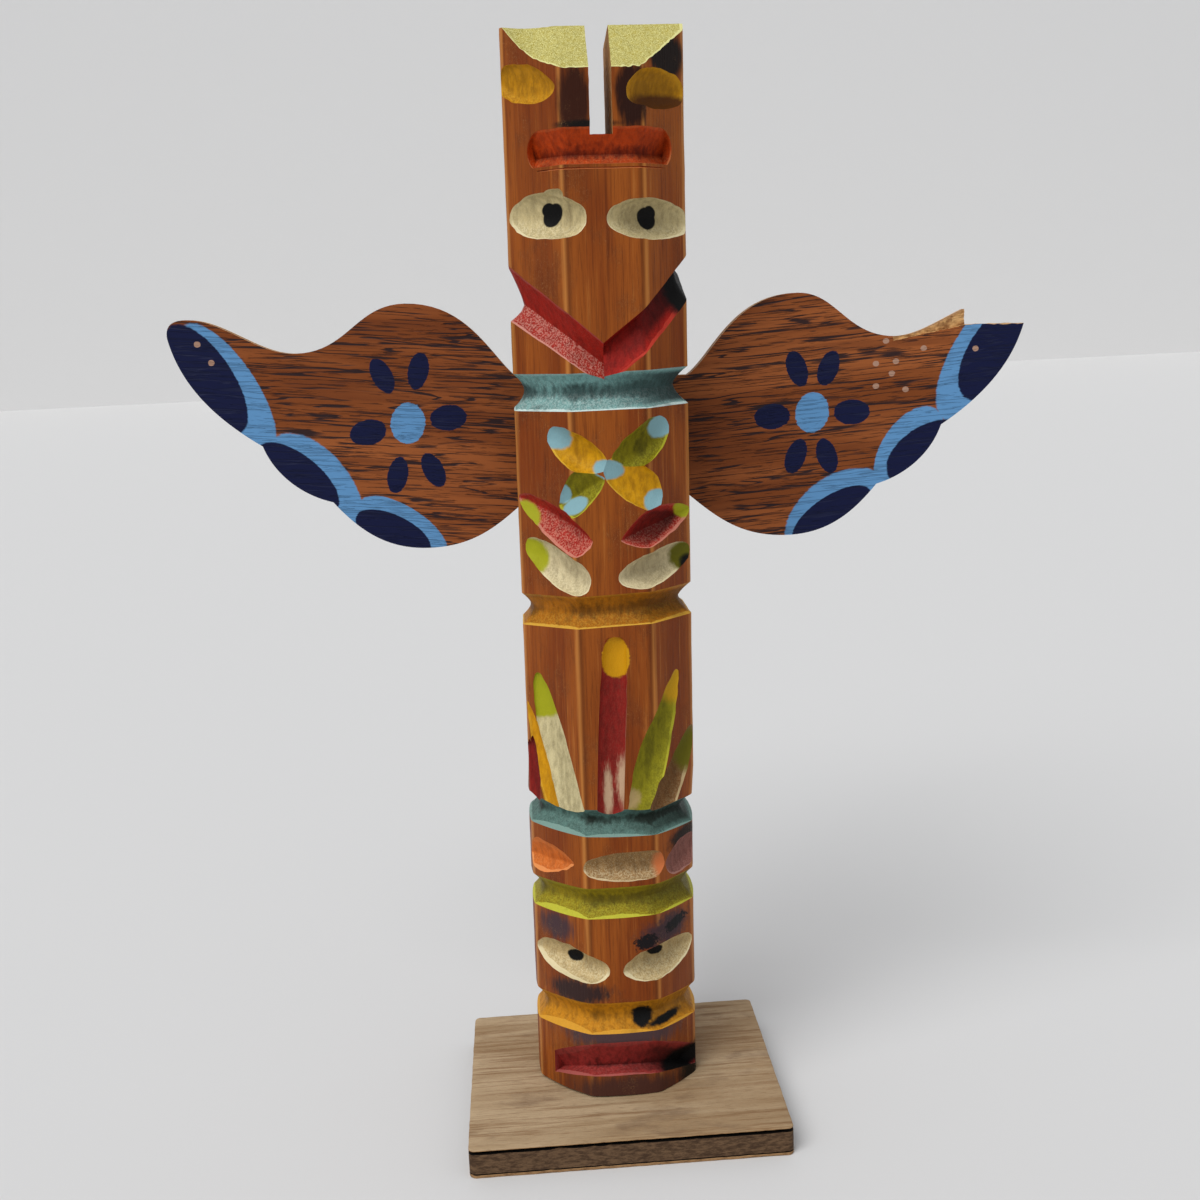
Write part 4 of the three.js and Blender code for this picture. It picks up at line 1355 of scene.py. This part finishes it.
def finish_wing_wood():
    tree, where, facing = open_material(wing_wood)
    measure = use_group(tree, "stick_measure", {"Object": where})
    shift = {0: measure["Place"], 1: (WING_SHIFT, 0, 0)}
    place = add_node(tree, "VectorMath", shift, operation="SUBTRACT")
    parts = tree.nodes.new("ShaderNodeSeparateXYZ")
    tree.links.new(place, parts.inputs[0])
    through = calc(tree, "SUBTRACT", parts.outputs[1], WING_FRONT)
    rise = times(tree, calc(tree, "ABSOLUTE", parts.outputs[0]), GRAIN_RISE)
    risen = calc(tree, "SUBTRACT", parts.outputs[2], rise)
    grain = add_node(tree, "CombineXYZ", {0: parts.outputs[0], 1: parts.outputs[1], 2: risen})
    broad = stretched_noise(tree, grain, (0.012, 0.1, 0.10), detail=3.0, distortion=0.5)
    band = stretched_noise(tree, grain, (0.020, 0.4, 0.42), detail=4.0, roughness=0.6, distortion=0.5)
    pore = stretched_noise(tree, grain, (0.030, 0.4, 0.62), detail=2.0, roughness=0.5, distortion=0.4)
    gap = stretched_noise(tree, grain, (0.055, 0.4, 0.5), detail=2.0, roughness=0.6)
    tick = stretched_noise(tree, grain, (0.12, 1.2, 3.2), detail=3.0, roughness=0.6)
    color = blend_color(tree, ramp_up(tree, broad, 0.35, 0.65), tint(150, 84, 42), tint(120, 62, 26))
    color = blend_color(tree, times(tree, ramp_up(tree, band, 0.45, 0.65), 0.5), color, tint(100, 50, 24))
    from_line = calc(tree, "ABSOLUTE", calc(tree, "SUBTRACT", pore, 0.5))
    pore_mask = flip(tree, ramp_up(tree, from_line, 0.014, 0.034))
    pore_mask = times(tree, pore_mask, ramp_up(tree, gap, 0.40, 0.50))
    tick_mask = times(tree, ramp_up(tree, tick, 0.57, 0.63), 0.65)
    pores = calc(tree, "MAXIMUM", pore_mask, tick_mask)
    front = calc(tree, "LESS_THAN", facing[1], -0.6)
    color = blend_color(tree, times(tree, pores, 0.9), color, tint(22, 12, 8))
    painted = lay_blots(tree, place, color, WING_BANDS + WING_OVALS + FLOWERS)
    painted = blend_color(tree, times(tree, pores, 0.22), painted, tint(40, 44, 60))
    color = blend_color(tree, front, color, painted)
    color = lay_blots(tree, place, color, FLECKS)
    ply = calc(tree, "PINGPONG", through, WING_THICKNESS / 2)
    raw = blend_color(tree, ramp_up(tree, ply, 1.0, 1.25), tint(206, 160, 104), tint(150, 104, 62))
    raw_streak = stretched_noise(tree, place, (0.3, 3.0, 0.9), detail=4.0)
    raw = blend_color(tree, times(tree, ramp_up(tree, raw_streak, 0.5, 0.7), 0.6), raw, tint(98, 60, 30))
    face = calc(tree, "GREATER_THAN", calc(tree, "ABSOLUTE", facing[1]), 0.6)
    behind_veneer = calc(tree, "GREATER_THAN", through, VENEER * 0.5)
    ahead_of_back = calc(tree, "LESS_THAN", through, WING_THICKNESS - 0.4)
    torn = times(tree, behind_veneer, ahead_of_back)
    stained = times(tree, face, flip(tree, torn))
    color = blend_color(tree, stained, raw, color)
    height = calc(tree, "SUBTRACT", times(tree, band, 0.2), pores)
    roughness = scaled(tree, band, 0.3, 0.36)
    close_material(tree, color, roughness, height, 0.14, coat=0.02)


finish_wing_wood()
print(len(WING_BANDS) + len(WING_OVALS) + len(FLOWERS), "brush marks on the wings")

# %% [markdown]
# ## Bare plywood
# The base was never stained. Its top veneer is a greyed tan with grain from left to right, rubbed and
# marked; its edge shows a thin top veneer over an open gap, whose black is painted shade, and a
# coarse, darker core.

# %% Wood of the base
def finish_base_wood():
    tree, where, facing = open_material(base_wood)
    place = add_node(tree, "Mapping", {"Vector": where, "Scale": (MM, MM, MM)}, vector_type="TEXTURE")
    parts = tree.nodes.new("ShaderNodeSeparateXYZ")
    tree.links.new(place, parts.inputs[0])
    z = parts.outputs[2]
    broad = stretched_noise(tree, place, (0.02, 0.10, 0.1), detail=3.0, distortion=0.6)
    streak = stretched_noise(tree, place, (0.035, 0.75, 0.75), detail=5.0, roughness=0.65, distortion=0.3)
    fine = stretched_noise(tree, place, (0.35, 4.2, 4.2), detail=3.0, roughness=0.6)
    stain = stretched_noise(tree, place, (0.06, 0.12, 0.1), detail=4.0, roughness=0.6)
    color = blend_color(tree, ramp_up(tree, broad, 0.36, 0.66), tint(180, 156, 124), tint(156, 130, 98))
    color = blend_color(tree, times(tree, ramp_up(tree, streak, 0.46, 0.68), 0.7), color, tint(120, 86, 54))
    color = blend_color(tree, times(tree, ramp_up(tree, fine, 0.52, 0.68), 0.4), color, tint(100, 72, 46))
    color = blend_color(tree, times(tree, ramp_up(tree, stain, 0.54, 0.72), 0.5), color, tint(112, 88, 68))
    core_noise = stretched_noise(tree, place, (0.5, 0.5, 1.6), detail=5.0, roughness=0.7)
    core = blend_color(tree, ramp_up(tree, core_noise, 0.35, 0.65), tint(104, 80, 58), tint(66, 48, 34))
    line = 0.0
    for low, high, depth in GAPS:
        inside = times(tree, calc(tree, "GREATER_THAN", z, low), calc(tree, "LESS_THAN", z, high))
        line = calc(tree, "MAXIMUM", line, inside)
    above_low = calc(tree, "GREATER_THAN", z, GAPS[0][0])
    in_core = times(tree, calc(tree, "LESS_THAN", z, GAPS[1][1]), above_low)
    veneer = blend_color(tree, ramp_up(tree, core_noise, 0.4, 0.7), tint(160, 124, 86), tint(112, 82, 54))
    edge = blend_color(tree, in_core, veneer, core)
    # Black on the glue line, which is dark glue, and in the open gap, where it is painted shade.
    edge = blend_color(tree, line, edge, tint(12, 9, 7))
    top_face = calc(tree, "GREATER_THAN", z, base_high.z - EDGE_WEAR)
    color = blend_color(tree, top_face, edge, color)
    height = calc(tree, "ADD", times(tree, streak, 0.6), times(tree, core_noise, 0.4))
    roughness = scaled(tree, streak, 0.2, 0.62)
    close_material(tree, color, roughness, height, 0.25)


finish_base_wood()

# %% [markdown]
# ## Floor, light and camera
# A plain pale sweep, one soft light high on the left, and an even room. The recesses that face
# right stay dark, which is what shows the carving.

# %% Stage
def flat_material(name, color):
    material = bpy.data.materials.new(name)
    material.use_nodes = True
    shader = material.node_tree.nodes["Principled BSDF"]
    shader.inputs["Base Color"].default_value = (*color, 1)
    shader.inputs["Roughness"].default_value = 0.8
    return material


deselect()
bpy.ops.mesh.primitive_plane_add(size=6, location=(0, 1.5, 0))
floor = name_new("floor")
pick(floor, "EDGE", lambda e: min(p.y for p in ends(floor, e)) > 4)
bpy.ops.mesh.extrude_region_move(TRANSFORM_OT_translate={"value": (0, 0, 4)})
deselect()
floor.data.materials.append(flat_material("pale_floor", (0.66, 0.655, 0.65)))


deselect()
bpy.ops.object.light_add(type="SUN", location=(-0.7, -0.9, 1.3))
sun = bpy.context.object
sun.name = "soft_key"
sun.data.energy = 2.1
sun.data.angle = 0.7
sun.rotation_euler = sun.location.to_track_quat("Z", "Y").to_euler()

CAMERA_PLACE = Vector((-16.5, -345.8, 193.0)) * MM
YAW = math.radians(2.76)  # to the right
PITCH = math.radians(10.67)  # downwards
ROLL = math.radians(-2.74)
forward = Vector((math.sin(YAW) * math.cos(PITCH), math.cos(YAW) * math.cos(PITCH), -math.sin(PITCH)))
level = Vector((math.cos(YAW), -math.sin(YAW), 0))
upward = level.cross(forward)
right = level * math.cos(ROLL) + upward * math.sin(ROLL)
top = upward * math.cos(ROLL) - level * math.sin(ROLL)
deselect()
bpy.ops.object.camera_add(location=CAMERA_PLACE)
camera = bpy.context.object
camera.data.lens = 44.4
camera.data.sensor_width = 36
camera.data.clip_start = 0.01
camera.rotation_euler = Matrix((right, top, -forward)).transposed().to_euler()
bpy.context.scene.camera = camera
bpy.context.scene.view_settings.view_transform = "Standard"

world = bpy.data.worlds.new("soft_room")
bpy.context.scene.world = world
world.use_nodes = True
world.node_tree.nodes["Background"].inputs["Color"].default_value = (0.95, 0.97, 1.0, 1)
world.node_tree.nodes["Background"].inputs["Strength"].default_value = 0.55
